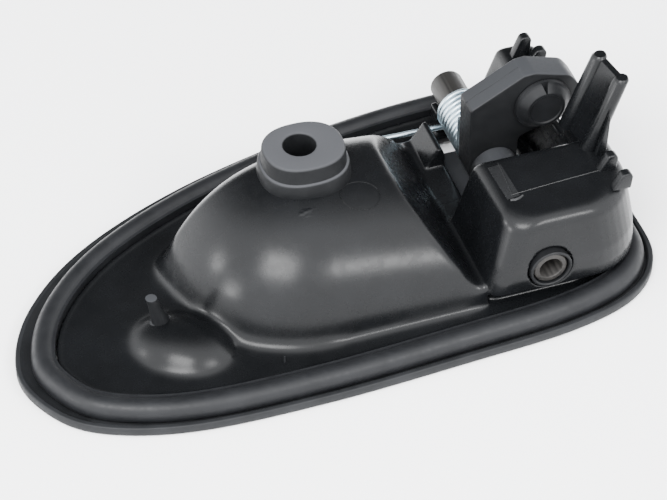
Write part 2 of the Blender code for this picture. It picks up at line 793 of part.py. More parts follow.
def build_lever(axis):
    """The lever that fingers pull: its paddle, two ribs and the hub on the shaft."""
    corners = [
        (LEVER_TIP_X, LEVER_NEAR_Y, 9.0),
        (LEVER_END_X, LEVER_NEAR_Y, 3.0),
        (LEVER_END_X, LEVER_FAR_Y, 3.0),
        (LEVER_TIP_X, LEVER_FAR_Y, 9.0),
    ]
    edge = rounded(corners, 5)
    heights = ((LEVER_FRONT_Z, 1.2), (LEVER_FRONT_Z + 0.8, 0.0), (LEVER_BACK_Z, 0.0))
    paddle = [[(x, y, z) for x, y in inset(edge, d)] for z, d in heights]
    origin = (SHAFT_X, 0.0, SHAFT_Z)
    lever = make_object("pull_lever", loft(paddle), PLASTIC, origin, axis)
    lip = [(LEVER_TIP_X + 0.4, 3.0), (LEVER_TIP_X + 4.0, 3.0), (LEVER_TIP_X + 2.6, 7.0)]
    lip.append((LEVER_TIP_X + 1.2, 7.0))
    join(lever, prism_y(lip, LEVER_NEAR_Y + 9.5, LEVER_FAR_Y - 9.5))
    hub = [(HUB_NEAR_Y, HUB_R), (HUB_FAR_Y, HUB_R)]
    join(lever, loft(turned(hub, (SHAFT_X, 0.0, SHAFT_Z), "y")))
    rib = [(38.6, 3.0), (LEVER_END_X - 1.5, 3.0), (LEVER_END_X - 3.0, 11.0), (44.0, 12.0)]
    for near in (-24.0, -3.5):
        join(lever, prism_y(rib, near, near + 2.6))
    bore = [(HUB_NEAR_Y - 5, BORE_R), (HUB_FAR_Y + 5, BORE_R)]
    cut(lever, loft(turned(bore, (SHAFT_X, 0.0, SHAFT_Z), "y")))


def build_arm(axis):
    """The bellcrank arm that pulls the rod, turning with the lever."""
    hub = []
    for degrees in range(180, 361, 15):
        angle = math.radians(degrees)
        hub.append((SHAFT_X + ARM_HUB_R * math.cos(angle), SHAFT_Z + ARM_HUB_R * math.sin(angle)))
    left = SHAFT_X - ARM_HUB_R
    corners = [
        (55.3, 21.0, 2.0),
        (60.0, 22.6, 3.0),
        (67.4, 25.2, 4.0),
        (71.6, 33.0, 3.0),
        (68.4, 37.6, 4.0),
        (58.8, 40.6, 3.0),
        (56.0, 40.4, 2.0),
        (left, 32.8, 1.2),
    ]
    outline = hub + rounded([(*hub[-1], 0), *corners, (*hub[0], 0)], 4)[1:-1]
    origin = (SHAFT_X, 0.0, SHAFT_Z)
    body = prism_y(outline, ARM_NEAR_Y, ARM_FAR_Y, 0.4)
    arm = make_object("bellcrank_arm", body, PLASTIC, origin, axis)
    bore = [(ARM_NEAR_Y - 5, BORE_R), (ARM_FAR_Y + 5, BORE_R)]
    cut(arm, loft(turned(bore, (SHAFT_X, 0.0, SHAFT_Z), "y")))
    socket = [(ARM_NEAR_Y - 5, CLIP_STEM_R + GAP), (ARM_FAR_Y + 5, CLIP_STEM_R + GAP)]
    cut(arm, loft(turned(socket, (CLIP_X, 0.0, CLIP_Z), "y")))


def build_clip(axis):
    """The swivelling clip that the latch rod snaps into."""
    near = ARM_NEAR_Y - GAP
    profile = [
        (near - 2.9, CLIP_FACE_R),
        (near - 2.3, 6.4),
        (near - 0.6, 7.4),
        (near, 7.4),
        (near, CLIP_STEM_R),
        (ARM_FAR_Y + GAP, CLIP_STEM_R),
        (ARM_FAR_Y + GAP, CLIP_STEM_R + 0.9),
        (ARM_FAR_Y + 2.2, CLIP_STEM_R - 0.6),
    ]
    origin = (CLIP_X, 0.0, CLIP_Z)
    clip = make_object("rod_clip", loft(turned(profile, origin, "y")), CLIP_PLASTIC, origin, axis)
    notch = [(CLIP_X - 1.6, CLIP_Z + 9.0), (CLIP_X, CLIP_Z + 4.6), (CLIP_X + 1.6, CLIP_Z + 9.0)]
    cut(clip, prism_y(notch, near - 9, near - 0.8))
    bore = [(CLIP_Z - 12, CLIP_SOCKET_R), (CLIP_Z + 2, CLIP_SOCKET_R)]
    cut(clip, loft(turned(bore, (CLIP_X, near - 1.4, 0.0), "z", 12)))


def build_spring():
    """The torsion spring round the shaft: one leg on the cup's side, the other up the arm."""
    path = []
    leg_z = SHAFT_Z - SPRING_COIL_R
    for i in range(4):
        path.append((SHAFT_X - SPRING_LEG * (1 - i / 4), SPRING_FAR_Y, leg_z + 0.6 * (1 - i / 4)))
    steps = 14
    total = int((SPRING_TURNS + 0.75) * steps)
    pitch = (SPRING_FAR_Y - SPRING_NEAR_Y) / total
    for i in range(total + 1):
        angle = -math.pi / 2 + 2 * math.pi * i / steps
        x = SHAFT_X + SPRING_COIL_R * math.cos(angle)
        z = SHAFT_Z + SPRING_COIL_R * math.sin(angle)
        path.append((x, SPRING_FAR_Y - pitch * i, z))
    end_x = path[-1][0]
    for i in range(1, 4):
        path.append((end_x, SPRING_NEAR_Y, SHAFT_Z + 3.4 * i))
    make_object("return_spring", tube_along(path, SPRING_WIRE_R, 6), SPRING_STEEL)


def main():
    for obj in list(bpy.data.objects):
        bpy.data.objects.remove(obj, do_unlink=True)
    build_flange()
    build_seal()
    build_tray()
    build_cup()
    build_boss()
    build_peg()
    build_hinge_box()
    build_hinge_block()
    build_saddle()
    build_hinge_floor()
    build_spring_cover()
    build_end_wall()
    build_guide_post()
    build_gusset()
    build_tabs()
    build_shaft()
    build_bush()
    build_stop()
    lever_axis = make_axis("lever_axis", SHAFT_X, 0.0, SHAFT_Z)
    build_lever(lever_axis)
    build_arm(lever_axis)
    clip_axis = make_axis("clip_axis", CLIP_X, 0.0, CLIP_Z)
    clip_axis.parent = lever_axis
    clip_axis.matrix_parent_inverse = lever_axis.matrix_world.inverted()
    bpy.context.view_layer.update()
    build_clip(clip_axis)
    build_spring()


main()
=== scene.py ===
"""Looks for the interior car door handle: its finished meshes, materials, lights and camera.

Lengths are millimetres in the frame's own axes, and plain_object() turns them into metres. The moulding's
sizes repeat the CAD part's, and what turns takes its place from the frame.
"""

import math

import bmesh
import bpy
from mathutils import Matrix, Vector, noise


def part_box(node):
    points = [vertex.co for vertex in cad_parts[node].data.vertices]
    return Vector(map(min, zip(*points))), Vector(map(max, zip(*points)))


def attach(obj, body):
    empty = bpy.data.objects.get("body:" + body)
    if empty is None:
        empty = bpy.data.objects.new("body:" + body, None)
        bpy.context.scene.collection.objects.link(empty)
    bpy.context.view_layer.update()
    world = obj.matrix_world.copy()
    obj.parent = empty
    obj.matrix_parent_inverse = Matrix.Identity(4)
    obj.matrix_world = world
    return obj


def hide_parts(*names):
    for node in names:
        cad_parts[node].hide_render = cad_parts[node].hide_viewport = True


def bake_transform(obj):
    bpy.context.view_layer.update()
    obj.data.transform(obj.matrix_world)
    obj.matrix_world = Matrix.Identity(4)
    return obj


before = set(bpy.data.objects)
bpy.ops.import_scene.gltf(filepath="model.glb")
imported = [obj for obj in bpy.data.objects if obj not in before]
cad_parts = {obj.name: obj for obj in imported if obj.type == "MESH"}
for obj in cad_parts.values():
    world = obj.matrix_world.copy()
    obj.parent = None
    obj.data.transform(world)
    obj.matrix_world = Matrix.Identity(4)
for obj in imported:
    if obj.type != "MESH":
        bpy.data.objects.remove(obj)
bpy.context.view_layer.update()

MM = 0.001

# Outline of the bezel, counterclockwise from the tip of the finger cup end.
OUTLINE = [
    (-80.6, -15.0),
    (-77.4, -29.0),
    (-67.0, -39.8),
    (-45.0, -46.6),
    (-12.0, -47.8),
    (24.0, -46.0),
    (52.0, -43.8),
    (70.0, -38.2),
    (79.4, -27.0),
    (80.6, -10.0),
    (79.6, 14.0),
    (74.0, 34.0),
    (60.0, 46.0),
    (42.0, 47.8),
    (10.0, 43.6),
    (-26.0, 34.0),
    (-55.0, 20.0),
    (-73.0, 3.0),
]
OUTLINE_STEPS = 14

# Bezel, seal and tray
FLANGE_HEIGHT = 2.8
LIP_HEIGHT = 1.5
GROOVE_INSET = 1.8
SEAL_INSET = 2.3
SEAL_TOP = 6.4
SEAL_INNER = 8.4
END_SPREAD = 1.6
TRAY_OUTER = 8.7
TRAY_TOP = 3.6
TRAY_BOTTOM = 1.3

# Cup
CUP_TIP_X = -39.5
CUP_RIDGE_X = -3.5
CUP_CREASE_X = 17.5
CUP_END_X = 32.2
CUP_CROWN_Y = 4.5
CUP_NEAR = 36.8
CUP_FAR = 26.0
CUP_TAPER = 0.35
CUP_TAPER_X = 8.0
CUP_BASE = 1.3
CUP_TOP = 31.0
CUP_CREASE_Z = 28.5
PLAN_POWER = 2.2  # how square the cup's tip is, seen from above: 2 is an ellipse
NEAR_POWER = 2.3  # how full its near shoulder is
TIP_POWER = 2.4  # how far its crown runs towards the tip before it drops
VALLEY_Z = 9.0
WALL = 2.2
WINDOW_END_X = 61.5  # right side of the opening in the tray
WINDOW_NEAR_Y = -29.4

# Screw boss
BOSS_HOLE = (-3.2, 2.5)
BOSS = (-2.4, 1.8)
BOSS_SIZE = (20.6, 18.4)
BOSS_TOP = 37.6
BOSS_HOLE_R = 4.0

# Hinge housings
BOX_NEAR_Y = -34.1
BOX_FAR_Y = -5.5
BOX_TOP = 27.3
BOX_LEFT_X = 32.6
BOX_LEFT_TOP_X = 39.4
BOX_RIGHT_X = 75.4
BOX_EDGE_R = 3.0
FOOT_TOP = 7.2
FOOT_STEP = 3.5
BLOCK_NEAR_Y = 24.5
BLOCK_FAR_Y = 36.0
BLOCK_LEFT_X = 54.5
BLOCK_LEFT_TOP_X = 60.5
BLOCK_RIGHT_X = 71.0
BUSH_R = 5.7
BUSH_DEPTH = 3.6
SLOTS = ((57.5, 21.0), (65.0, 12.6))  # right side and top of the slots in the box's far wall
SLOT_LEFT_X = 40.5
FLOOR_END_X = 39.4
FLOOR_FAR_Y = 26.0
SADDLE_LOW = (43.4, 31.6, 2.4)
SADDLE_HIGH = (54.0, 36.3, 10.6)

# Mound that carries the peg, and the low skirt round the toe
MOUND = (-41.0, -21.0)
MOUND_SIZE = (14.0, 10.5, 7.6)  # half length, half width and height
SKIRT = (-41.5, -13.0)
SKIRT_SIZE = (17.0, 17.5, 3.4)

# Fusing the moulding
VOXEL = 0.42
FUSE_SMOOTHING = 6
COVE_R = 4.6  # hollow fillet between the tray and the cup
COVE_END = 52  # point of the foot's curve where the fillet stops
FOOT_BLEND_Z = 14.0
FOOT_END_X = 34.0
FOOT_SMOOTHING = 200
CREASE_START_X = 10.0
CREASE_END_X = 32.0
CREASE_SMOOTHING = 60

# Stage and camera
FLOOR_HALF = 4000
FLOOR_Z = -0.05
LAMP_TARGET = (0.0, 0.0, 15.0)
CAMERA_PLACE = (-170.4, -514.2, 514.4)
CAMERA_TARGET = (5.5, 2.5, 0.0)
CAMERA_LENS = 161.9


def node_box(node):
    """Lowest and highest corner of a CAD node, in millimetres."""
    low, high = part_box(node)
    return low / MM, high / MM


SHAFT_LOW, SHAFT_HIGH = node_box("pivot_shaft")
SHAFT_X = (SHAFT_LOW.x + SHAFT_HIGH.x) / 2
SHAFT_Z = (SHAFT_LOW.z + SHAFT_HIGH.z) / 2
SHAFT_R = (SHAFT_HIGH.x - SHAFT_LOW.x) / 2
CLIP_LOW, CLIP_HIGH = node_box("rod_clip")
CLIP_X = (CLIP_LOW.x + CLIP_HIGH.x) / 2
ARM_LOW, ARM_HIGH = node_box("bellcrank_arm")
LEVER_TIP_X = node_box("pull_lever")[0].x
CLIP_Z = 31.0
BORE_R = 4.6


# Shapes: each is a pair (points, faces) in millimetres


def ring_faces(first, second, count):
    faces = []
    for i in range(count):
        j = (i + 1) % count
        faces.append((first + i, first + j, second + j, second + i))
    return faces


def loft(loops):
    """A solid through closed loops, with flat caps."""
    count = len(loops[0])
    faces = [tuple(range(count))]
    for k in range(len(loops) - 1):
        faces += ring_faces(k * count, (k + 1) * count, count)
    last = (len(loops) - 1) * count
    faces.append(tuple(range(last, last + count)))
    return [p for loop in loops for p in loop], faces


def hoop(loops):
    """A ring-shaped solid whose loops go once round its cross-section."""
    count = len(loops[0])
    faces = []
    for k in range(len(loops)):
        faces += ring_faces(k * count, (k + 1) % len(loops) * count, count)
    return [p for loop in loops for p in loop], faces


def wall_between(outer, inner):
    """A closed wall between two grids of points of the same size."""
    rows, columns = len(outer), len(outer[0])
    points = [p for row in outer for p in row] + [p for row in inner for p in row]
    half = rows * columns
    faces = []
    for i in range(rows - 1):
        for j in range(columns - 1):
            a = i * columns + j
            quad = (a, a + 1, a + columns + 1, a + columns)
            faces += [quad, tuple(half + k for k in quad)]
    edge = [(0, j) for j in range(columns)]
    edge += [(i, columns - 1) for i in range(1, rows)]
    edge += [(rows - 1, j) for j in range(columns - 2, -1, -1)]
    edge += [(i, 0) for i in range(rows - 2, 0, -1)]
    for k, (i, j) in enumerate(edge):
        m, n = edge[(k + 1) % len(edge)]
        a, b = i * columns + j, m * columns + n
        faces.append((a, b, half + b, half + a))
    return points, faces


def circle(centre, radius, sides, axis="z"):
    loop = []
    for i in range(sides):
        angle = 2 * math.pi * i / sides
        a, b = radius * math.cos(angle), radius * math.sin(angle)
        offset = {"x": (0, a, b), "y": (a, 0, b), "z": (a, b, 0)}[axis]
        loop.append(tuple(c + d for c, d in zip(centre, offset)))
    return loop


def turned(profile, centre, axis, sides=72):
    """Loops of a solid or tube of revolution: profile lists (position along axis, radius)."""
    loops = []
    for along, radius in profile:
        point = list(centre)
        point["xyz".index(axis)] = along
        loops.append(circle(point, radius, sides, axis))
    return loops


def prism_y(outline, near, far):
    return loft([[(x, y, z) for x, z in outline] for y in (near, far)])


def box(low, high):
    outline = [(low[0], low[1]), (high[0], low[1]), (high[0], high[1]), (low[0], high[1])]
    return loft([[(x, y, z) for x, y in outline] for z in (low[2], high[2])])


def tube_along(path, radius, sides):
    """A round wire along a path, with domed ends."""
    path = [Vector(p) for p in path]
    loops = []
    side = None
    for i, point in enumerate(path):
        ahead = (path[min(i + 1, len(path) - 1)] - path[max(i - 1, 0)]).normalized()
        if side is None:
            side = ahead.orthogonal()
        side = (side - side.dot(ahead) * ahead).normalized()
        up = ahead.cross(side)
        loop = []
        for k in range(sides):
            angle = 2 * math.pi * k / sides
            loop.append(tuple(point + radius * (math.cos(angle) * side + math.sin(angle) * up)))
        loops.append(loop)
    return loft(loops)


def inset(outline, distance):
    """A closed 2-D outline moved inwards by distance."""
    area = sum(a[0] * b[1] - b[0] * a[1] for a, b in zip(outline, outline[1:] + outline[:1]))
    turn = math.copysign(1.0, area)
    moved = []
    for i, (x, y) in enumerate(outline):
        ax, ay = outline[i - 1]
        bx, by = outline[(i + 1) % len(outline)]
        before = Vector((x - ax, y - ay)).normalized()
        after = Vector((bx - x, by - y)).normalized()
        normal = (Vector((-before.y - after.y, before.x + after.x)) * turn).normalized()
        spread = max(0.5, normal.dot(Vector((-before.y, before.x)) * turn))
        step = normal * (distance / spread)
        moved.append((x + step.x, y + step.y))
    return moved


def smooth_loop(points, steps):
    """A closed smooth curve through the points."""
    count = len(points)
    curve = []
    for i in range(count):
        p = [Vector(points[(i + k - 1) % count]) for k in range(4)]
        for s in range(steps):
            t = s / steps
            spot = 2 * p[1] + (p[2] - p[0]) * t
            spot += (2 * p[0] - 5 * p[1] + 4 * p[2] - p[3]) * t * t
            spot += (3 * p[1] - p[0] - 3 * p[2] + p[3]) * t * t * t
            curve.append(tuple(spot / 2))
    return curve


def rounded(corners, steps=10):
    """An outline whose corners (x, y, radius) are rounded with arcs."""
    outline = []
    for i, (x, y, radius) in enumerate(corners):
        if not radius:
            outline.append((x, y))
            continue
        before = (Vector(corners[i - 1][:2]) - Vector((x, y))).normalized()
        after = (Vector(corners[(i + 1) % len(corners)][:2]) - Vector((x, y))).normalized()
        half = before.angle(after) / 2
        middle = Vector((x, y)) + (before + after).normalized() * radius / math.sin(half)
        start = Vector((x, y)) + before * radius / math.tan(half) - middle
        end = Vector((x, y)) + after * radius / math.tan(half) - middle
        sweep = start.angle_signed(end)
        for s in range(steps + 1):
            angle = -sweep * s / steps
            c, d = math.cos(angle), math.sin(angle)
            outline.append((middle.x + start.x * c - start.y * d, middle.y + start.x * d + start.y * c))
    return outline


def resample(outline, count):
    """The same closed outline with count points at even distances."""
    ring = [Vector(p) for p in outline] + [Vector(outline[0])]
    lengths = [(q - p).length for p, q in zip(ring, ring[1:])]
    step = sum(lengths) / count
    spots, index, passed = [], 0, 0.0
    for i in range(count):
        while index < len(lengths) - 1 and passed + lengths[index] < i * step:
            passed += lengths[index]
            index += 1
        spots.append(tuple(ring[index].lerp(ring[index + 1], (i * step - passed) / lengths[index])))
    return spots


# Pieces


def plain_object(name, shape):
    points, faces = shape
    mesh = bpy.data.meshes.new(name)
    mesh.from_pydata([Vector(p) * MM for p in points], [], faces)
    work = bmesh.new()
    work.from_mesh(mesh)
    bmesh.ops.remove_doubles(work, verts=work.verts, dist=1e-3 * MM)
    bmesh.ops.recalc_face_normals(work, faces=work.faces)
    work.to_mesh(mesh)
    work.free()
    obj = bpy.data.objects.new(name, mesh)
    bpy.context.scene.collection.objects.link(obj)
    return obj


def settle(obj):
    """Turns the object's modifiers into its mesh."""
    bpy.context.view_layer.update()
    graph = bpy.context.evaluated_depsgraph_get()
    mesh = bpy.data.meshes.new_from_object(obj.evaluated_get(graph))
    obj.modifiers.clear()
    obj.data = mesh


def change(obj, shape, operation):
    """Cuts a shape from an object, or joins it on."""
    helper = plain_object("helper", shape)
    modifier = obj.modifiers.new("change", "BOOLEAN")
    modifier.operation = operation
    modifier.solver = "EXACT"
    modifier.object = helper
    settle(obj)
    bpy.data.objects.remove(helper)


def cut(obj, shape):
    change(obj, shape, "DIFFERENCE")


def join(obj, shape):
    change(obj, shape, "UNION")


def bevel(obj, width, segments=3, angle=35):
    modifier = obj.modifiers.new("bevel", "BEVEL")
    modifier.width = width * MM
    modifier.segments = segments
    modifier.limit_method = "ANGLE"
    modifier.angle_limit = math.radians(angle)
    settle(obj)


def finish_piece(obj, material, nodes, body, sharp=40):
    """Shades a piece, gives it its material and ties it to the CAD."""
    obj.data.materials.clear()
    obj.data.materials.append(material)
    obj.data.shade_smooth()
    obj.data.set_sharp_from_angle(angle=math.radians(sharp))
    if nodes:
        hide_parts(*nodes)
    if body:
        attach(obj, body)


# Materials


class Nodes:
    """Short calls for building one procedural material."""

    def __init__(self, name):
        self.material = bpy.data.materials.new(name)
        self.material.use_nodes = True
        self.tree = self.material.node_tree
        self.shader = self.tree.nodes["Principled BSDF"]
        self.place = self.tree.nodes.new("ShaderNodeTexCoord").outputs["Object"]

    def painted_top_light(self, colour, pale):
        """The colour, going towards a paler one on faces that look up: painted top light."""
        normal = self.tree.nodes.new("ShaderNodeSeparateXYZ")
        geometry = self.tree.nodes.new("ShaderNodeNewGeometry")
        self.tree.links.new(geometry.outputs["Normal"], normal.inputs[0])
        mask = self.tree.nodes.new("ShaderNodeMapRange")
        mask.inputs["From Min"].default_value = 0.45
        mask.inputs["From Max"].default_value = 0.95
        self.tree.links.new(normal.outputs["Z"], mask.inputs["Value"])
        mix = self.tree.nodes.new("ShaderNodeMix")
        mix.data_type = "RGBA"
        self.tree.links.new(mask.outputs["Result"], mix.inputs["Factor"])
        usual, on_top = [socket for socket in mix.inputs if socket.type == "RGBA"]
        self.tree.links.new(colour, usual)
        on_top.default_value = (*pale, 1.0)
        return next(socket for socket in mix.outputs if socket.type == "RGBA")

    def scaled(self, scale):
        """The object's own coordinates, stretched by a factor along each axis."""
        node = self.tree.nodes.new("ShaderNodeMapping")
        node.inputs["Scale"].default_value = scale
        self.tree.links.new(self.place, node.inputs["Vector"])
        return node.outputs["Vector"]

    def noise(self, scale, detail, stretch=(1, 1, 1)):
        node = self.tree.nodes.new("ShaderNodeTexNoise")
        node.inputs["Scale"].default_value = scale
        node.inputs["Detail"].default_value = detail
        self.tree.links.new(self.scaled(stretch), node.inputs["Vector"])
        return node.outputs["Fac"]

    def ranged(self, value, low, high):
        """A noise's middle stretch, spread over the range from low to high."""
        node = self.tree.nodes.new("ShaderNodeMapRange")
        for name, number in (("From Min", 0.35), ("From Max", 0.65), ("To Min", low), ("To Max", high)):
            node.inputs[name].default_value = number
        self.tree.links.new(value, node.inputs["Value"])
        return node.outputs["Result"]

    def colours(self, value, first, second):
        node = self.tree.nodes.new("ShaderNodeValToRGB")
        node.color_ramp.elements[0].position = 0.3
        node.color_ramp.elements[0].color = (*first, 1)
        node.color_ramp.elements[1].position = 0.7
        node.color_ramp.elements[1].color = (*second, 1)
        self.tree.links.new(value, node.inputs["Fac"])
        return node.outputs["Color"]

    def bump(self, value, strength, distance):
        """Adds a bump, its depth in millimetres, on top of any that is there already."""
        node = self.tree.nodes.new("ShaderNodeBump")
        node.inputs["Strength"].default_value = strength
        node.inputs["Distance"].default_value = distance * MM
        self.tree.links.new(value, node.inputs["Height"])
        last = self.shader.inputs["Normal"].links
        if last:
            self.tree.links.new(last[0].from_socket, node.inputs["Normal"])
        self.tree.links.new(node.outputs["Normal"], self.shader.inputs["Normal"])

    def feed(self, name, value):
        self.tree.links.new(value, self.shader.inputs[name])

    def set(self, name, value):
        self.shader.inputs[name].default_value = value


def moulded_black():
    """Semi-gloss moulded plastic, with faint flow marks and a soft waviness."""
    n = Nodes("moulded_black")
    n.feed("Base Color", n.colours(n.noise(70, 3), (0.0018, 0.0020, 0.0023), (0.0034, 0.0037, 0.0042)))
    n.feed("Roughness", n.ranged(n.noise(400, 3), 0.24, 0.29))
    n.bump(n.noise(60, 1), 0.15, 0.10)
    n.set("Specular IOR Level", 0.17)
    return n.material


def grained(name, dark, light, rough, grain, gloss, painted_top_light=None):
    """Matte surface with an all-over leathery grain and, when given a top colour, painted top light that
    makes upward faces paler.

    The grain is a noise scale and a depth, and gloss is the shader's specular level.
    """
    n = Nodes(name)
    colour = n.colours(n.noise(160, 5), dark, light)
    # Painted top light: upward faces are mixed towards a paler colour.
    n.feed("Base Color", n.painted_top_light(colour, painted_top_light) if painted_top_light else colour)
    n.feed("Roughness", n.ranged(n.noise(900, 4), rough - 0.07, rough + 0.07))
    n.bump(n.noise(grain[0], 3), 0.35, grain[1])
    n.bump(n.noise(90, 2), 0.15, 0.1)
    n.set("Specular IOR Level", gloss)
    return n.material


def shaft_steel():
    """Dull drawn steel, with its grain along the shaft."""
    n = Nodes("shaft_steel")
    grain = n.noise(420, 6, (3, 0.06, 3))
    n.feed("Base Color", n.colours(grain, (0.008, 0.0076, 0.0072), (0.026, 0.024, 0.022)))
    n.feed("Roughness", n.ranged(grain, 0.40, 0.62))
    n.set("Metallic", 0.55)
    n.bump(grain, 0.25, 0.05)
    n.bump(n.noise(500, 5), 0.15, 0.05)
    return n.material


def spring_steel():
    """Bright bluish zinc on drawn wire."""
    n = Nodes("spring_steel")
    marks = n.noise(500, 2)
    n.feed("Base Color", n.colours(marks, (0.36, 0.44, 0.49), (0.46, 0.55, 0.60)))
    n.feed("Roughness", n.ranged(marks, 0.30, 0.38))
    n.set("Metallic", 1.0)
    n.bump(n.noise(3000, 2), 0.03, 0.01)
    return n.material


BLACK = moulded_black()
# Boss plastic: its grain is its own, and painted top light makes its upward faces paler than its sides.
BOSS_PAINTED_TOP_LIGHT = grained(
    "boss_plastic_painted_top_light",
    dark=(0.0030, 0.0032, 0.0036),
    light=(0.0060, 0.0063, 0.0068),
    rough=0.50,
    grain=(700, 0.06),
    gloss=0.08,
    # Pale colour of the painted top light on upward faces.
    painted_top_light=(0.036, 0.037, 0.040),
)
FLANGE = grained(
    "flange_plastic",
    dark=(0.0060, 0.0064, 0.0070),
    light=(0.0095, 0.0100, 0.0110),
    rough=0.50,
    grain=(1300, 0.05),
    gloss=0.14,
)
RUBBER = grained(
    "seal_rubber",
    dark=(0.0045, 0.0048, 0.0055),
    light=(0.0075, 0.0079, 0.0088),
    rough=0.46,
    grain=(1700, 0.04),
    gloss=0.16,
)
ARM_BLACK = grained(
    "arm_plastic",
    dark=(0.0038, 0.0040, 0.0044),
    light=(0.0070, 0.0073, 0.0078),
    rough=0.42,
    grain=(1500, 0.03),
    gloss=0.09,
    # Pale colour of the painted top light on the upward faces of the pieces in this plastic.
    painted_top_light=(0.022, 0.023, 0.025),
)
CLIP_BLACK = grained(
    "clip_plastic",
    dark=(0.0035, 0.0037, 0.0041),
    light=(0.0060, 0.0063, 0.0069),
    rough=0.42,
    grain=(1200, 0.02),
    gloss=0.12,
)
PAD = grained(
    "stop_rubber",
    dark=(0.005, 0.005, 0.0055),
    light=(0.009, 0.009, 0.0095),
    rough=0.8,
    grain=(1600, 0.04),
    gloss=0.10,
)
# Glossy patch plastic: the gloss is its own, and its paler colour is a painted highlight.
POLISHED_PAINTED_HIGHLIGHT = grained(
    "polished_gate_painted_highlight",
    dark=(0.0040, 0.0042, 0.0046),
    light=(0.0100, 0.0104, 0.0110),
    rough=0.22,
    grain=(300, 0.05),
    gloss=0.40,
)
SHAFT = shaft_steel()
SPRING = spring_steel()


# Bezel and seal


def rim_loop(distance, z, spread=0.0):
    """The outline moved inwards by distance, and by spread more at its tip."""
    scale = 1 - spread / -OUTLINE[0][0]
    loop = inset(smooth_loop(OUTLINE, OUTLINE_STEPS), distance)
    return [(x * scale if x < 0 else x, y, z) for x, y in loop]


def build_flange():
    """The flange with rolled edges and the seal's groove."""
    loops = []
    for i in range(7):
        angle = math.pi / 2 * i / 6
        loops.append(rim_loop(0.9 * (1 - math.sin(angle)), 0.9 * (1 - math.cos(angle))))
    for i in range(1, 6):
        angle = math.pi / 2 * i / 5
        loops.append(rim_loop(0.5 * (1 - math.cos(angle)), FLANGE_HEIGHT - 0.5 + 0.5 * math.sin(angle)))
    loops.append(rim_loop(GROOVE_INSET - 0.6, FLANGE_HEIGHT))
    loops.append(rim_loop(GROOVE_INSET - 0.4, FLANGE_HEIGHT - 0.2))
    loops.append(rim_loop(GROOVE_INSET, LIP_HEIGHT, END_SPREAD))
    loops.append(rim_loop(SEAL_INNER, LIP_HEIGHT, END_SPREAD))
    loops.append(rim_loop(SEAL_INNER, 0.0, END_SPREAD))
    flange = plain_object("bezel_edge", hoop(loops))
    finish_piece(flange, FLANGE, ["bezel_flange"], "housing")


def build_seal():
    """The round rubber bead, with its flat foot in the groove."""
    bottom = LIP_HEIGHT + 0.2
    middle = (SEAL_INSET + SEAL_INNER) / 2
    half = (SEAL_INNER - SEAL_INSET) / 2
    steps = 22
    loops = [rim_loop(SEAL_INSET + 0.5, bottom, END_SPREAD)]
    for i in range(steps + 1):
        angle = math.pi * i / steps
        across = middle - half * math.cos(angle)
        rise = (SEAL_TOP - bottom - 0.5) * math.sin(angle) ** 0.72
        if angle > math.pi / 2:
            rise = max(rise, SEAL_TOP - 1.0 - bottom - 0.5)
        loops.append(rim_loop(across, bottom + 0.5 + rise, END_SPREAD))
    loops.append(rim_loop(SEAL_INNER, bottom, END_SPREAD))
    seal = plain_object("rubber_bead", hoop(loops))
    finish_piece(seal, RUBBER, ["rim_seal"], "housing", 60)


# The moulding: tray, cup, mound and hinge housings, fused with soft fillets


def cup_width(x):
    """Share of the cup's full width that it has at x: less than 1 only towards the tip."""
    u = max(0.0, (CUP_RIDGE_X - x) / (CUP_RIDGE_X - CUP_TIP_X))
    return max(0.0, 1 - u**PLAN_POWER) ** (1 / PLAN_POWER)


def cup_half(x, side):
    return CUP_NEAR if side < 0 else CUP_FAR - CUP_TAPER * max(0.0, CUP_TAPER_X - x)


def cup_height(x, side, shrink):
    """Height of the cup's wall at x, where side runs from -1 at the near foot to 1 at the far one."""
    u = max(0.0, (CUP_RIDGE_X - x) / (CUP_RIDGE_X - CUP_TIP_X - shrink))
    profile = max(0.0, 1 - (-side) ** NEAR_POWER) ** 0.5 if side < 0 else 1 - side**2
    drop = (CUP_TOP - CUP_CREASE_Z) * max(0.0, x - CUP_RIDGE_X) / (CUP_CREASE_X - CUP_RIDGE_X)
    crown = (CUP_TOP - drop - shrink - CUP_BASE) * max(0.0, 1 - min(1.0, u) ** TIP_POWER) ** 0.7
    arch = CUP_BASE + crown * profile
    slope = (CUP_CREASE_Z - VALLEY_Z) / (CUP_END_X - 0.5 - CUP_CREASE_X)
    ramp = CUP_CREASE_Z - shrink * 1.5 - slope * (x - CUP_CREASE_X)
    return min(arch, max(ramp, VALLEY_Z - shrink)) if x > CUP_CREASE_X - 1 else arch


def cup_surface(x, y):
    """Height of the cup's outer surface over a point."""
    side = (y - CUP_CROWN_Y) / (cup_half(x, y - CUP_CROWN_Y) * cup_width(x))
    return cup_height(x, side, 0.0)


def cup_grid(shrink):
    """Points of the cup's outer surface, or with shrink, of its inner one."""
    tip = CUP_TIP_X + shrink
    count = 44
    stations = []
    for i in range(count + 1):
        stations.append(CUP_RIDGE_X - (CUP_RIDGE_X - tip) * math.cos(math.pi / 2 * i / count))
    ahead = 46
    for i in range(1, ahead + 1):
        stations.append(CUP_RIDGE_X + (CUP_END_X + 1.5 - CUP_RIDGE_X) * i / ahead)
    rows = []
    for x in stations:
        u = min(1.0, max(0.0, (CUP_RIDGE_X - x) / (CUP_RIDGE_X - tip)))
        width = max(0.0, 1 - u**PLAN_POWER) ** (1 / PLAN_POWER)
        row = []
        for j in range(-40, 41):
            side = math.sin(math.pi / 2 * j / 40)
            y = CUP_CROWN_Y + (cup_half(x, side) - shrink) * width * side
            row.append((x, y, cup_height(x, side, shrink)))
        rows.append(row)
    return rows


def foot_points(gap):
    """The cup's foot from the near side, round its tip, to the far side, moved out by gap."""
    points = []
    for i in range(-30, 31):
        angle = math.pi / 2 * i / 30
        x = CUP_RIDGE_X - (CUP_RIDGE_X - CUP_TIP_X + gap) * math.cos(angle) ** (2 / PLAN_POWER)
        share = math.copysign(abs(math.sin(angle)) ** (2 / PLAN_POWER), i)
        points.append((x, CUP_CROWN_Y + (cup_half(x, i) + gap) * share))
    return points


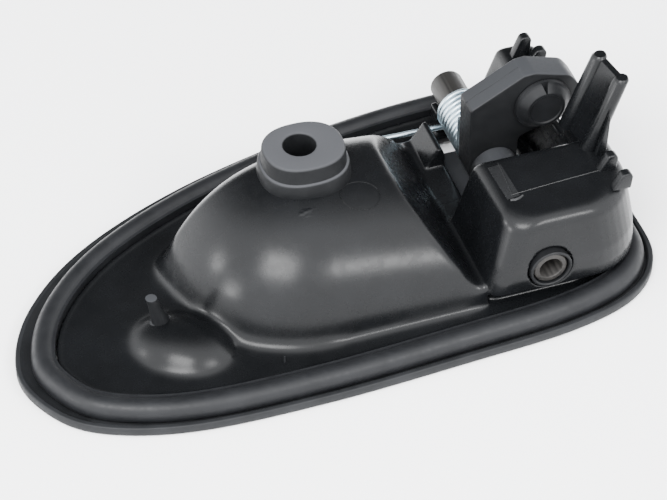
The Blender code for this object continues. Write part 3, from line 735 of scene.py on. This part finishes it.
def window_loop(z, count):
    """Edge of the opening in the tray, under the cup and the hinge."""
    foot = foot_points(-0.8)
    far = CUP_CROWN_Y + CUP_FAR - 0.4
    corners = [(CUP_END_X, foot[0][1]), (CUP_END_X + 3.0, WINDOW_NEAR_Y)]
    corners += [(WINDOW_END_X, WINDOW_NEAR_Y), (WINDOW_END_X, far), (CUP_TAPER_X, far)]
    outline = foot[30::-1] + corners + foot[:30:-1]
    return [(x, y, z) for x, y in resample(outline, count)]


def tray_shape():
    outer = [
        rim_loop(TRAY_OUTER, TRAY_BOTTOM - 0.7, END_SPREAD),
        rim_loop(TRAY_OUTER, TRAY_TOP + 0.6, END_SPREAD),
        rim_loop(TRAY_OUTER + 0.6, TRAY_TOP + 0.5, END_SPREAD),
        rim_loop(TRAY_OUTER + 1.2, TRAY_TOP + 0.2, END_SPREAD),
        rim_loop(TRAY_OUTER + 1.9, TRAY_TOP, END_SPREAD),
    ]
    inner = window_loop(TRAY_TOP, len(outer[0]))
    return hoop([*outer, inner, [(x, y, TRAY_BOTTOM) for x, y, z in inner]])


FOOT_ZONE = [(x, y) for x, y, z in rim_loop(SEAL_INNER + 2.4, 0.0, END_SPREAD)]


def cove_shape():
    """The hollow fillet that sweeps from the tray up into the cup's near side and toe."""
    steps = 9
    upper, lower = [], []
    for k in range(steps + 1):
        out = COVE_R * k / steps
        rise = COVE_R - math.sqrt(max(0.0, COVE_R**2 - (COVE_R - out) ** 2))
        ring = foot_points(out - 1.2)[:COVE_END]
        upper.append([(x, y, TRAY_TOP - 0.1 + rise) for x, y in ring])
        lower.append([(x, y, TRAY_BOTTOM + 0.5) for x, y in ring])
    return wall_between(upper, lower)


def dome(centre, size):
    """Half an ellipsoid standing on the tray, its long axis pointing away from the tip."""
    along, across, height = size
    long_axis, short_axis = Vector((0.80, -0.60)), Vector((0.60, 0.80))
    loops = []
    for k in range(14):
        angle = math.pi / 2 * k / 14
        loop = []
        for i in range(48):
            turn = 2 * math.pi * i / 48
            spot = Vector(centre) + long_axis * along * math.cos(angle) * math.cos(turn)
            spot += short_axis * across * math.cos(angle) * math.sin(turn)
            loop.append((spot.x, spot.y, TRAY_BOTTOM + 0.6 + height * math.sin(angle)))
        loops.append(loop)
    return loft(loops)


def housing_loops(loop_at, top, radius):
    """Loops of a hinge housing with a rounded upper edge."""
    loops = [loop_at(TRAY_BOTTOM + 0.8, 0.0), loop_at(FOOT_TOP - 0.6, 0.0), loop_at(FOOT_TOP + 0.2, 0.0)]
    loops += [loop_at(z, 0.0) for z in (11.0, 15.0, 19.0, 22.0)]
    for i in range(7):
        angle = math.pi / 2 * i / 6
        drop = radius * (1 - math.sin(angle))
        loops.append(loop_at(top - drop, 0.0, radius * (1 - math.cos(angle))))
    return loops


def box_loop(z, shrink, inward=0.0):
    share = max(0.0, (z - 13.0) / (BOX_TOP - 13.0))
    lean = max(0.0, (z - FOOT_TOP) / (BOX_TOP - FOOT_TOP))
    foot = FOOT_STEP if z < FOOT_TOP else 0.0
    grow = shrink + inward
    left = BOX_LEFT_X + lean * (BOX_LEFT_TOP_X - BOX_LEFT_X) + grow
    near = BOX_NEAR_Y + grow + foot + 3.0 * share
    right = BOX_RIGHT_X - grow - 1.6 * foot - 2.0 * share
    far = BOX_FAR_Y - grow
    corners = [(left, near, 4.5 + 3.0 * share - shrink), (right, near, 15.0 - shrink)]
    corners += [(right, far, 1.0), (left, far, 1.0)]
    return [(x, y, z) for x, y in rounded(corners)]


def block_loop(z, shrink, inward=0.0):
    lean = max(0.0, (z - FOOT_TOP) / (BOX_TOP - FOOT_TOP))
    foot = 1.0 if z < FOOT_TOP else 0.0
    grow = shrink + inward
    left = BLOCK_LEFT_X + lean * (BLOCK_LEFT_TOP_X - BLOCK_LEFT_X) + grow
    right = BLOCK_RIGHT_X - grow - 7.5 * foot
    far = BLOCK_FAR_Y - grow - 2.0 * lean - 4.5 * foot
    corner = 1.0 if shrink else 5.0
    corners = [(left, BLOCK_NEAR_Y + grow, 1.0), (right, BLOCK_NEAR_Y + grow, 1.0)]
    corners += [(right, far, corner), (left, far, 1.0)]
    return [(x, y, z) for x, y in rounded(corners)]


def near_box():
    """The hollow hinge box on the near side, with its slots and the bush's bore."""
    obj = plain_object("near_box", loft(housing_loops(box_loop, BOX_TOP, BOX_EDGE_R)))
    hollow = [box_loop(z, WALL) for z in (0.0, FOOT_TOP + 1.8, FOOT_TOP + 2.1, BOX_TOP - WALL)]
    hollow[1] = [(x, y, FOOT_TOP + 1.8) for x, y, z in hollow[0]]
    cut(obj, loft(hollow))
    cut(obj, box((BOX_LEFT_X - 2, WINDOW_NEAR_Y, -1.0), (WINDOW_END_X, 0.0, FOOT_TOP - 0.6)))
    for right, top in SLOTS:
        cut(obj, box((SLOT_LEFT_X, BOX_FAR_Y - 5, -1.0), (right, BOX_FAR_Y + 5, top)))
    bore = [(BOX_NEAR_Y - 5, BUSH_R), (BOX_NEAR_Y + 8, BUSH_R)]
    cut(obj, loft(turned(bore, (SHAFT_X, 0.0, SHAFT_Z), "y")))
    return obj


def far_block():
    """The hollow hinge block on the far side."""
    obj = plain_object("far_block", loft(housing_loops(block_loop, BOX_TOP - 0.4, 2.2)))
    hollow = [block_loop(z, WALL) for z in (0.0, FOOT_TOP + 1.8, FOOT_TOP + 2.1, BOX_TOP - WALL - 0.6)]
    hollow[1] = [(x, y, FOOT_TOP + 1.8) for x, y, z in hollow[0]]
    cut(obj, loft(hollow))
    return obj


def end_wall():
    """The upright wall that closes the hinge opening at the far end of the bezel."""
    corners = [(-6.5, 2.2), (25.2, 2.2), (25.2, 20.0), (3.6, 20.0), (1.9, BOX_TOP), (-6.5, BOX_TOP)]
    return loft([[(66.4 - 0.1 * y + offset, y, z) for y, z in corners] for offset in (0.0, WALL)])


def fuse(name, objects):
    """One mesh from overlapping objects, with small fillets where they meet."""
    work = bmesh.new()
    for obj in objects:
        work.from_mesh(obj.data)
        bpy.data.objects.remove(obj)
    mesh = bpy.data.meshes.new(name)
    work.to_mesh(mesh)
    work.free()
    fused = bpy.data.objects.new(name, mesh)
    bpy.context.scene.collection.objects.link(fused)
    remesh = fused.modifiers.new("remesh", "REMESH")
    remesh.mode = "VOXEL"
    remesh.voxel_size = VOXEL * MM
    smooth = fused.modifiers.new("smooth", "SMOOTH")
    smooth.factor = 0.5
    smooth.iterations = FUSE_SMOOTHING
    settle(fused)
    return fused


def soften(obj, name, weigh, iterations):
    """Smooths the outward-facing skin of the moulding wherever weigh says so."""
    group = obj.vertex_groups.new(name=name)
    for vertex in obj.data.vertices:
        x, y, z = vertex.co / MM
        normal = vertex.normal
        outward = x * normal.x + (y - CUP_CROWN_Y) * normal.y
        if normal.z > 0.0 and (outward > 0.0 or normal.z > 0.6):
            weight = weigh(x, y, z)
            if weight > 0.0:
                group.add([vertex.index], min(1.0, weight), "REPLACE")
    smooth = obj.modifiers.new(name, "SMOOTH")
    smooth.factor = 0.5
    smooth.iterations = iterations
    smooth.vertex_group = name
    settle(obj)
    obj.vertex_groups.clear()


def foot_weight(x, y, z):
    """Where the cup, the mound and the tray flow into one another."""
    if z < TRAY_TOP - 0.6 or not inside(FOOT_ZONE, x, y):
        return 0.0
    return min((FOOT_BLEND_Z - z) / 4.0, (FOOT_END_X - x) / 6.0)


def crease_weight(x, y, z):
    """Where the cup turns over into its ramp."""
    if z < 5.0:
        return 0.0
    return min((x - CREASE_START_X) / 4.0, (CREASE_END_X - x) / 3.0)


def inside(outline, x, y):
    """Whether a point lies inside a closed outline."""
    within = False
    for (ax, ay), (bx, by) in zip(outline, outline[1:] + outline[:1]):
        if (ay > y) != (by > y) and x < (bx - ax) * (y - ay) / (by - ay) + ax:
            within = not within
    return within


def hollow_cup():
    """The finger cup's shell, with the screw's hole."""
    cup = plain_object("cup", wall_between(cup_grid(0.0), cup_grid(WALL)))
    cut(cup, loft(turned([(15.0, BOSS_HOLE_R), (45.0, BOSS_HOLE_R)], (*BOSS_HOLE, 0.0), "z")))
    return cup


def hinge_floor():
    """The flat between the cup's ramp and the hinge opening."""
    return box((CUP_END_X - 1.0, BOX_FAR_Y - 0.5, VALLEY_Z - WALL), (FLOOR_END_X, FLOOR_FAR_Y, VALLEY_Z))


def saddle():
    """The cradle under the shaft's far end."""
    obj = plain_object("saddle", box(SADDLE_LOW, SADDLE_HIGH))
    bore = [(25.0, BORE_R), (45.0, BORE_R)]
    cut(obj, loft(turned(bore, (SHAFT_X, 0.0, SHAFT_Z), "y")))
    return obj


def spring_hump():
    """The guard that rises from the hinge floor beside the coils."""
    outline = [(33.0, 8.0), (36.0, 12.4), (37.4, 14.4), (38.4, 14.4), (FLOOR_END_X, 12.0), (FLOOR_END_X, 8.0)]
    return prism_y(outline, 14.2, FLOOR_FAR_Y)


def build_moulding():
    """Fuses the shapes above into one moulding and softens two of its joins."""
    parts = [hollow_cup()]
    parts.append(plain_object("tray", tray_shape()))
    parts.append(plain_object("mound", dome(MOUND, MOUND_SIZE)))
    parts.append(plain_object("skirt", dome(SKIRT, SKIRT_SIZE)))
    parts.append(plain_object("cove", cove_shape()))
    parts += [near_box(), far_block()]
    parts.append(plain_object("end", end_wall()))
    parts.append(plain_object("floor", hinge_floor()))
    parts.append(saddle())
    parts.append(plain_object("hump", spring_hump()))
    moulding = fuse("moulding", parts)
    soften(moulding, "foot", foot_weight, FOOT_SMOOTHING)
    soften(moulding, "crease", crease_weight, CREASE_SMOOTHING)
    stands_for = ["tray", "cup_housing", "hinge_box", "hinge_block"]
    stands_for += ["hinge_floor", "end_wall", "shaft_saddle", "spring_cover"]
    finish_piece(moulding, BLACK, stands_for, "housing", 75)


# Crisp details on the moulding


def boss_loop(grow, z=None, radius=None):
    """An oval round the boss, or a circle round its hole, at z or just under the cup's surface."""
    loop = []
    for i in range(96):
        angle = 2 * math.pi * i / 96
        c, s = math.cos(angle), math.sin(angle)
        if radius:
            x, y = BOSS_HOLE[0] + radius * c, BOSS_HOLE[1] + radius * s
        else:
            x = BOSS[0] + (BOSS_SIZE[0] / 2 + grow) * math.copysign(abs(c) ** 0.85, c)
            y = BOSS[1] + (BOSS_SIZE[1] / 2 + grow) * math.copysign(abs(s) ** 0.85, s)
        loop.append((x, y, cup_surface(x, y) - 0.8 if z is None else z))
    return loop


def build_boss():
    """The screw boss: a stepped oval pad round the screw's hole."""
    loops = [
        boss_loop(1.2),
        boss_loop(0.8, BOSS_TOP - 5.0),
        boss_loop(0.5, BOSS_TOP - 4.4),
        boss_loop(0.0, BOSS_TOP - 4.3),
        boss_loop(-0.2, BOSS_TOP - 0.7),
        boss_loop(-0.35, BOSS_TOP - 0.3),
        boss_loop(-0.75, BOSS_TOP),
        boss_loop(0.0, BOSS_TOP, BOSS_HOLE_R + 0.35),
        boss_loop(0.0, BOSS_TOP - 0.35, BOSS_HOLE_R),
        boss_loop(0.0, BOSS_TOP - 10.0, BOSS_HOLE_R),
        boss_loop(-2.6, BOSS_TOP - 10.0),
    ]
    boss = plain_object("boss_pad", hoop(loops))
    bevel(boss, 0.18, 2, 30)
    finish_piece(boss, BOSS_PAINTED_TOP_LIGHT, ["screw_boss"], "housing")


def build_peg():
    """The locating peg, leaning out of a low collar on the mound."""
    centre = (-44.4, -15.9, 0.0)
    collar = [(4.0, 4.2), (7.0, 3.4), (8.0, 2.7), (8.5, 2.2), (8.8, 1.2)]
    peg = plain_object("peg", loft(turned(collar, centre, "z", 48)))
    spine = [(-44.2, 5.5, 2.3), (-44.7, 9.0, 2.2), (-45.4, 11.5, 1.75)]
    spine += [(-46.0, 14.0, 1.5), (-46.6, 16.4, 1.4)]
    join(peg, loft([circle((x, -15.8, z), radius, 40) for x, z, radius in spine]))
    bevel(peg, 0.3, 3, 40)
    finish_piece(peg, ARM_BLACK, ["locating_peg"], "housing")


def build_post():
    """Two tapering rods and the web between them."""
    foot, head = Vector((67.6, -9.9, BOX_TOP - 0.6)), Vector((75.0, -9.9, 47.4))
    shift = Vector((-1.6, 9.9, 0.0))
    neck = foot.lerp(head, 0.965)

    def rod(move):
        return loft([circle(p + move, r, 40) for p, r in ((foot, 2.3), (neck, 1.95), (head, 1.45))])

    post = plain_object("post", rod(Vector((0, 0, 0))))
    join(post, rod(shift))
    thick = Vector((0.8, 0.1, 0.0))
    web = []
    for point in (foot, head - Vector((0, 0, 0.6))):
        ends = (point - thick, point + thick, point + shift + thick, point + shift - thick)
        web.append([tuple(p) for p in ends])
    join(post, loft(web))
    bevel(post, 0.25, 3, 30)
    finish_piece(post, BLACK, ["guide_post"], "housing")


def build_gusset():
    """The thin fin that braces the guide post."""
    base = BOX_TOP - 0.4
    outline = [(67.6, base), (70.5, base), (71.0, 38.6), (70.6, 38.8)]
    gusset = plain_object("gusset", prism_y(outline, -14.0, -12.6))
    bevel(gusset, 0.2)
    finish_piece(gusset, BLACK, ["post_gusset"], "housing")


def build_tabs():
    """The four leaning thumb tabs on the hinge box and block."""
    places = {
        "tab_near_1": (68.4, -18.4, BOX_TOP, 4.0),
        "tab_near_2": (69.4, -25.4, BOX_TOP, 3.6),
        "tab_far_1": (64.4, 29.2, BOX_TOP - 0.4, 5.6),
        "tab_far_2": (67.8, 26.6, BOX_TOP - 0.4, 2.6),
    }
    for name, (x, y, floor, height) in places.items():
        corners = [(x - 2.5, floor - 0.8, 0), (x + 2.5, floor - 0.8, 0)]
        corners += [(x + 3.0, floor + height + 0.3, 1.45), (x + 0.2, floor + height + 0.3, 1.3)]
        tab = plain_object(name.replace("tab", "thumb"), prism_y(rounded(corners), y - 1.3, y + 1.3))
        bevel(tab, 0.5, 4, 50)
        finish_piece(tab, BLACK, [name], "housing")


def on_cup(x, y, lift):
    return (x, y, cup_surface(x, y) + lift)


def build_ring():
    """The ring that an ejector pin leaves on the cup."""
    ring = []
    for i in range(64):
        angle = 2 * math.pi * i / 64
        ring.append(on_cup(8.2 + 4.9 * math.cos(angle), -9.5 + 4.0 * math.sin(angle), 0.03))
    pin = plain_object("pin_ring", tube_along([*ring, ring[0]], 0.10, 6))
    finish_piece(pin, BLACK, [], "housing")


def build_scar():
    """The rough scar of a gate on the cup."""
    top, under = [], []
    for i in range(36):
        u = i / 35
        upper, lower = [], []
        for j in range(20):
            v = j / 19
            x, y = -10.5 + 8.6 * u, -14.0 + 4.2 * v
            edge = math.sin(math.pi * u) * math.sin(math.pi * v)
            rough = noise.noise(Vector((x * 0.8, y * 1.5, 0.4)))
            rough += 0.5 * noise.noise(Vector((x * 2.1, y * 3, 7)))
            upper.append(on_cup(x, y, -0.25 + 0.30 * edge**0.5 + 0.10 * rough * edge))
            lower.append(on_cup(x, y, -0.8))
        top.append(upper)
        under.append(lower)
    scar = plain_object("gate_scar", wall_between(top, under))
    finish_piece(scar, BLACK, [], "housing", 70)


def build_flash():
    """The tick on the tray, and the shiny patch with its flash on the hinge box; the paler colour of the
    patch and flash is a painted highlight.
    """
    tick = plain_object("flash_tick", tube_along([(-19.4, -34.4, 3.4), (-19.3, -34.3, 5.4)], 0.22, 8))
    finish_piece(tick, FLANGE, [], "housing")
    corners = [(41.6, -21.6), (45.0, -21.2), (44.6, -9.2), (41.2, -9.4)]
    plate = [[(x, y, z) for x, y in corners] for z in (BOX_TOP - 0.3, BOX_TOP + 0.02)]
    # Thin plate that carries the painted highlight near the box's top edge.
    patch = plain_object("gate_patch_painted_highlight", loft(plate))
    finish_piece(patch, POLISHED_PAINTED_HIGHLIGHT, [], "housing")
    blob = [(42.2, -22.0, 27.2), (43.4, -22.3, 27.3), (44.6, -22.0, 27.3), (45.6, -21.4, 27.2)]
    flash = plain_object("gate_flash", tube_along(blob, 0.38, 8))
    finish_piece(flash, POLISHED_PAINTED_HIGHLIGHT, [], "housing")


def build_parting_lines():
    """The two raised lines where the mould's halves met, on the hinge box."""
    lines = {
        "parting_top": [(43.0, -20.4, BOX_TOP), (55.0, -19.6, BOX_TOP), (70.0, -18.8, BOX_TOP)],
        "parting_cross": [(43.2, -21.0, BOX_TOP), (43.8, -15.0, BOX_TOP), (44.2, -8.4, BOX_TOP)],
    }
    for name, path in lines.items():
        line = plain_object(name, tube_along(path, 0.11, 6))
        finish_piece(line, BLACK, [], "housing")


# The shaft and what turns on it


def build_shaft():
    """The hinge shaft, bored at its near end."""
    near, far = SHAFT_LOW.y, SHAFT_HIGH.y
    profile = [(near + 14.0, 2.8), (near + 0.3, 2.8), (near, 3.0)]
    profile += [(near, SHAFT_R - 0.4), (near + 0.12, SHAFT_R - 0.15), (near + 0.4, SHAFT_R)]
    profile += [(far - 0.8, SHAFT_R), (far - 0.35, SHAFT_R - 0.15)]
    profile += [(far - 0.08, SHAFT_R - 0.5), (far, SHAFT_R - 1.0)]
    shaft = plain_object("hinge_pin", loft(turned(profile, (SHAFT_X, 0.0, SHAFT_Z), "y", 96)))
    finish_piece(shaft, SHAFT, ["pivot_shaft"], "housing")


def build_bush():
    """The bush round the shaft's near end."""
    near = BOX_NEAR_Y - 0.4
    rings = [(near + 0.25, 4.6), (near, 4.85), (near, 5.15), (near + 0.25, 5.4)]
    rings += [(BOX_NEAR_Y + BUSH_DEPTH, 5.4), (BOX_NEAR_Y + BUSH_DEPTH, 4.6)]
    bush = plain_object("bush", hoop(turned(rings, (SHAFT_X, 0.0, SHAFT_Z), "y", 96)))
    finish_piece(bush, CLIP_BLACK, ["shaft_bush"], "housing")


def build_pad():
    low, high = node_box("stop_pad")
    pad = plain_object("rest_pad", box(low, high))
    bevel(pad, 0.5, 3)
    finish_piece(pad, PAD, ["stop_pad"], "housing")


def build_lever():
    """The pull lever: a rounded paddle, its finger lip, two ribs and the hub."""
    tip, end = LEVER_TIP_X, 55.5
    near, far = -27.0, 24.0
    corners = [(tip, near, 9.0), (end, near, 3.0), (end, far, 3.0), (tip, far, 9.0)]
    edge = rounded(corners, 12)
    heights = [(1.0, 1.2), (1.1, 0.75), (1.35, 0.35), (1.8, 0.0), (3.6, 0.0), (4.0, 0.4)]
    lever = plain_object("pull_paddle", loft([[(x, y, z) for x, y in inset(edge, d)] for z, d in heights]))
    lip = [(tip + 0.4, 3.0), (tip + 4.0, 3.0), (tip + 2.6, 7.0), (tip + 1.2, 7.0)]
    join(lever, prism_y(lip, near + 9.5, far - 9.5))
    hub = [(-28.0, 6.2), (5.2, 6.2)]
    join(lever, loft(turned(hub, (SHAFT_X, 0.0, SHAFT_Z), "y")))
    for rib_y in (-24.0, -3.5):
        rib = [(38.6, 3.0), (end - 1.5, 3.0), (end - 3.0, 11.0), (44.0, 12.0)]
        join(lever, prism_y(rib, rib_y, rib_y + 2.6))
    bore = [(-33.0, BORE_R), (10.2, BORE_R)]
    cut(lever, loft(turned(bore, (SHAFT_X, 0.0, SHAFT_Z), "y")))
    finish_piece(lever, ARM_BLACK, ["pull_lever"], "lever", 35)


def build_arm():
    """The bellcrank arm, with the clip's hole at its end."""
    hub = []
    radius = SHAFT_X - ARM_LOW.x
    for degrees in range(180, 361, 6):
        angle = math.radians(degrees)
        hub.append((SHAFT_X + radius * math.cos(angle), SHAFT_Z + radius * math.sin(angle)))
    corners = [
        (55.3, 21.0, 2.0),
        (60.0, 22.6, 3.0),
        (67.4, 25.2, 4.0),
        (71.6, 33.0, 3.0),
        (68.4, 37.6, 4.0),
        (58.8, 40.6, 3.0),
        (56.0, 40.4, 2.0),
        (SHAFT_X - radius, 32.8, 1.2),
    ]
    outline = hub + rounded([(*hub[-1], 0), *corners, (*hub[0], 0)])[1:-1]
    arm = plain_object("bellcrank", prism_y(outline, ARM_LOW.y, ARM_HIGH.y))
    bevel(arm, 0.4, 4, 60)
    cut(arm, loft(turned([(0.0, BORE_R), (18.0, BORE_R)], (SHAFT_X, 0.0, SHAFT_Z), "y")))
    cut(arm, loft(turned([(0.0, 3.3), (18.0, 3.3)], (CLIP_X, 0.0, CLIP_Z), "y")))
    finish_piece(arm, ARM_BLACK, ["bellcrank_arm"], "lever", 35)


def build_arm_ridge():
    """The thin ridge of flash along the arm's edge."""
    radius = SHAFT_X - ARM_LOW.x
    flash = []
    for i in range(12):
        share = i / 11
        wave = 0.12 * math.sin(9 * share)
        x = SHAFT_X - radius + 13.7 * share
        flash.append((x, ARM_LOW.y + 3.9 + wave, 32.75 + 7.6 * share + 0.02))
    ridge = plain_object("arm_flash", tube_along(flash, 0.14, 6))
    finish_piece(ridge, ARM_BLACK, [], "lever")


def build_clip():
    """The rod clip: a turned head with a notch, a cross hole and a pin through the arm."""
    near = ARM_LOW.y - 0.3
    profile = [(near - 2.6, 3.6), (near - 2.65, 4.1), (near - 2.9, 4.4), (near - 2.9, 5.0), (near - 2.7, 5.3)]
    profile += [(near - 1.4, 6.5), (near - 1.2, 6.8), (near - 1.05, 7.2), (near - 0.2, 7.4), (near, 7.25)]
    profile += [(near, 3.0), (ARM_HIGH.y + 0.3, 3.0)]
    profile += [(ARM_HIGH.y + 0.3, 3.9), (ARM_HIGH.y + 2.2, 2.4)]
    clip = plain_object("swivel_clip", loft(turned(profile, (CLIP_X, 0.0, CLIP_Z), "y", 64)))
    notch = [(CLIP_X - 1.6, CLIP_Z + 9.0), (CLIP_X, CLIP_Z + 4.6), (CLIP_X + 1.6, CLIP_Z + 9.0)]
    cut(clip, prism_y(notch, near - 9, near - 0.8))
    cut(clip, loft(turned([(CLIP_Z - 12, 1.1), (CLIP_Z + 2, 1.1)], (CLIP_X, near - 1.4, 0.0), "z", 32)))
    finish_piece(clip, CLIP_BLACK, ["rod_clip"], "clip", 30)


def build_spring():
    """The torsion spring, one wire that winds along its length."""
    wire, coil, turns, steps = 0.72, 5.65, 9.75, 36
    near_y, far_y, leg = 14.2, 29.5, 21.0
    path = []
    for i in range(24):
        share = 1 - i / 24
        path.append((SHAFT_X - leg * share, far_y, SHAFT_Z - coil + 0.6 * share))
    total = int(turns * steps)
    for i in range(total + 1):
        angle = -math.pi / 2 + 2 * math.pi * i / steps
        y = far_y - (far_y - near_y) * i / total
        path.append((SHAFT_X + coil * math.cos(angle), y, SHAFT_Z + coil * math.sin(angle)))
    for i in range(1, 13):
        path.append((path[total + 24][0], near_y, SHAFT_Z + 10.2 * i / 12))
    spring = plain_object("torsion_spring", tube_along(path, wire, 14))
    finish_piece(spring, SPRING, ["return_spring"], None, 50)
    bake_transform(spring)


# Stage


def add_light(name, place, size, power):
    """A rectangular lamp, turned towards the object."""
    data = bpy.data.lights.new(name, "AREA")
    data.shape = "RECTANGLE"
    data.size, data.size_y = size[0] * MM, size[1] * MM
    data.energy = power
    light = bpy.data.objects.new(name, data)
    bpy.context.scene.collection.objects.link(light)
    light.location = Vector(place) * MM
    aim = (Vector(LAMP_TARGET) - Vector(place)).normalized()
    light.rotation_mode = "QUATERNION"
    light.rotation_quaternion = aim.to_track_quat("-Z", "Y")


def build_stage():
    """The pale floor, the studio round it and four soft lamps."""
    corners = [(-FLOOR_HALF, -FLOOR_HALF), (FLOOR_HALF, -FLOOR_HALF)]
    corners += [(FLOOR_HALF, FLOOR_HALF), (-FLOOR_HALF, FLOOR_HALF)]
    floor = plain_object("floor", ([(x, y, FLOOR_Z) for x, y in corners], [(0, 1, 2, 3)]))
    n = Nodes("floor_white")
    n.feed("Base Color", n.colours(n.noise(3, 2), (0.93, 0.93, 0.93), (0.96, 0.96, 0.96)))
    n.set("Roughness", 0.8)
    floor.data.materials.append(n.material)
    build_world()
    add_light("main", (-340, -430, 660), (420, 300), 11.0)
    add_light("shoulder_key", (270, -520, 480), (240, 110), 3.2)
    add_light("left_window", (-580, 120, 225), (90, 90), 1.0)
    add_light("left_lamp", (-590, -140, 165), (150, 110), 1.4)


def build_world():
    """A studio that is bright in front and at the sides, and dark behind the object."""
    world = bpy.data.worlds.new("studio")
    world.use_nodes = True
    nodes, links = world.node_tree.nodes, world.node_tree.links
    place = nodes.new("ShaderNodeTexCoord").outputs["Generated"]
    facing = nodes.new("ShaderNodeVectorMath")
    facing.operation = "DOT_PRODUCT"
    facing.inputs[1].default_value = Vector((0.15, 0.75, 0.64)).normalized()
    links.new(place, facing.inputs[0])
    fade = nodes.new("ShaderNodeMapRange")
    fade.interpolation_type = "SMOOTHSTEP"
    fade.inputs["From Min"].default_value = 0.45
    fade.inputs["From Max"].default_value = 0.92
    fade.inputs["To Min"].default_value = 6.0
    fade.inputs["To Max"].default_value = 0.3
    links.new(facing.outputs["Value"], fade.inputs["Value"])
    backdrop = nodes["Background"]
    backdrop.inputs["Color"].default_value = (0.97, 0.98, 1.0, 1.0)
    links.new(fade.outputs["Result"], backdrop.inputs["Strength"])
    bpy.context.scene.world = world


def build_camera():
    camera = bpy.data.objects.new("camera", bpy.data.cameras.new("camera"))
    bpy.context.scene.collection.objects.link(camera)
    camera.data.sensor_width = 36
    camera.data.lens = CAMERA_LENS
    camera.data.clip_start = 0.01
    camera.data.clip_end = 20
    camera.location = Vector(CAMERA_PLACE) * MM
    aim = (Vector(CAMERA_TARGET) - Vector(CAMERA_PLACE)).normalized()
    camera.rotation_mode = "QUATERNION"
    camera.rotation_quaternion = aim.to_track_quat("-Z", "Y")
    bpy.context.scene.camera = camera


build_camera()
build_stage()
build_flange()
build_seal()
build_moulding()
build_boss()
build_peg()
build_post()
build_gusset()
build_tabs()
build_ring()
build_scar()
build_flash()
build_parting_lines()
build_shaft()
build_bush()
build_pad()
build_lever()
build_arm()
build_arm_ridge()
build_clip()
build_spring()
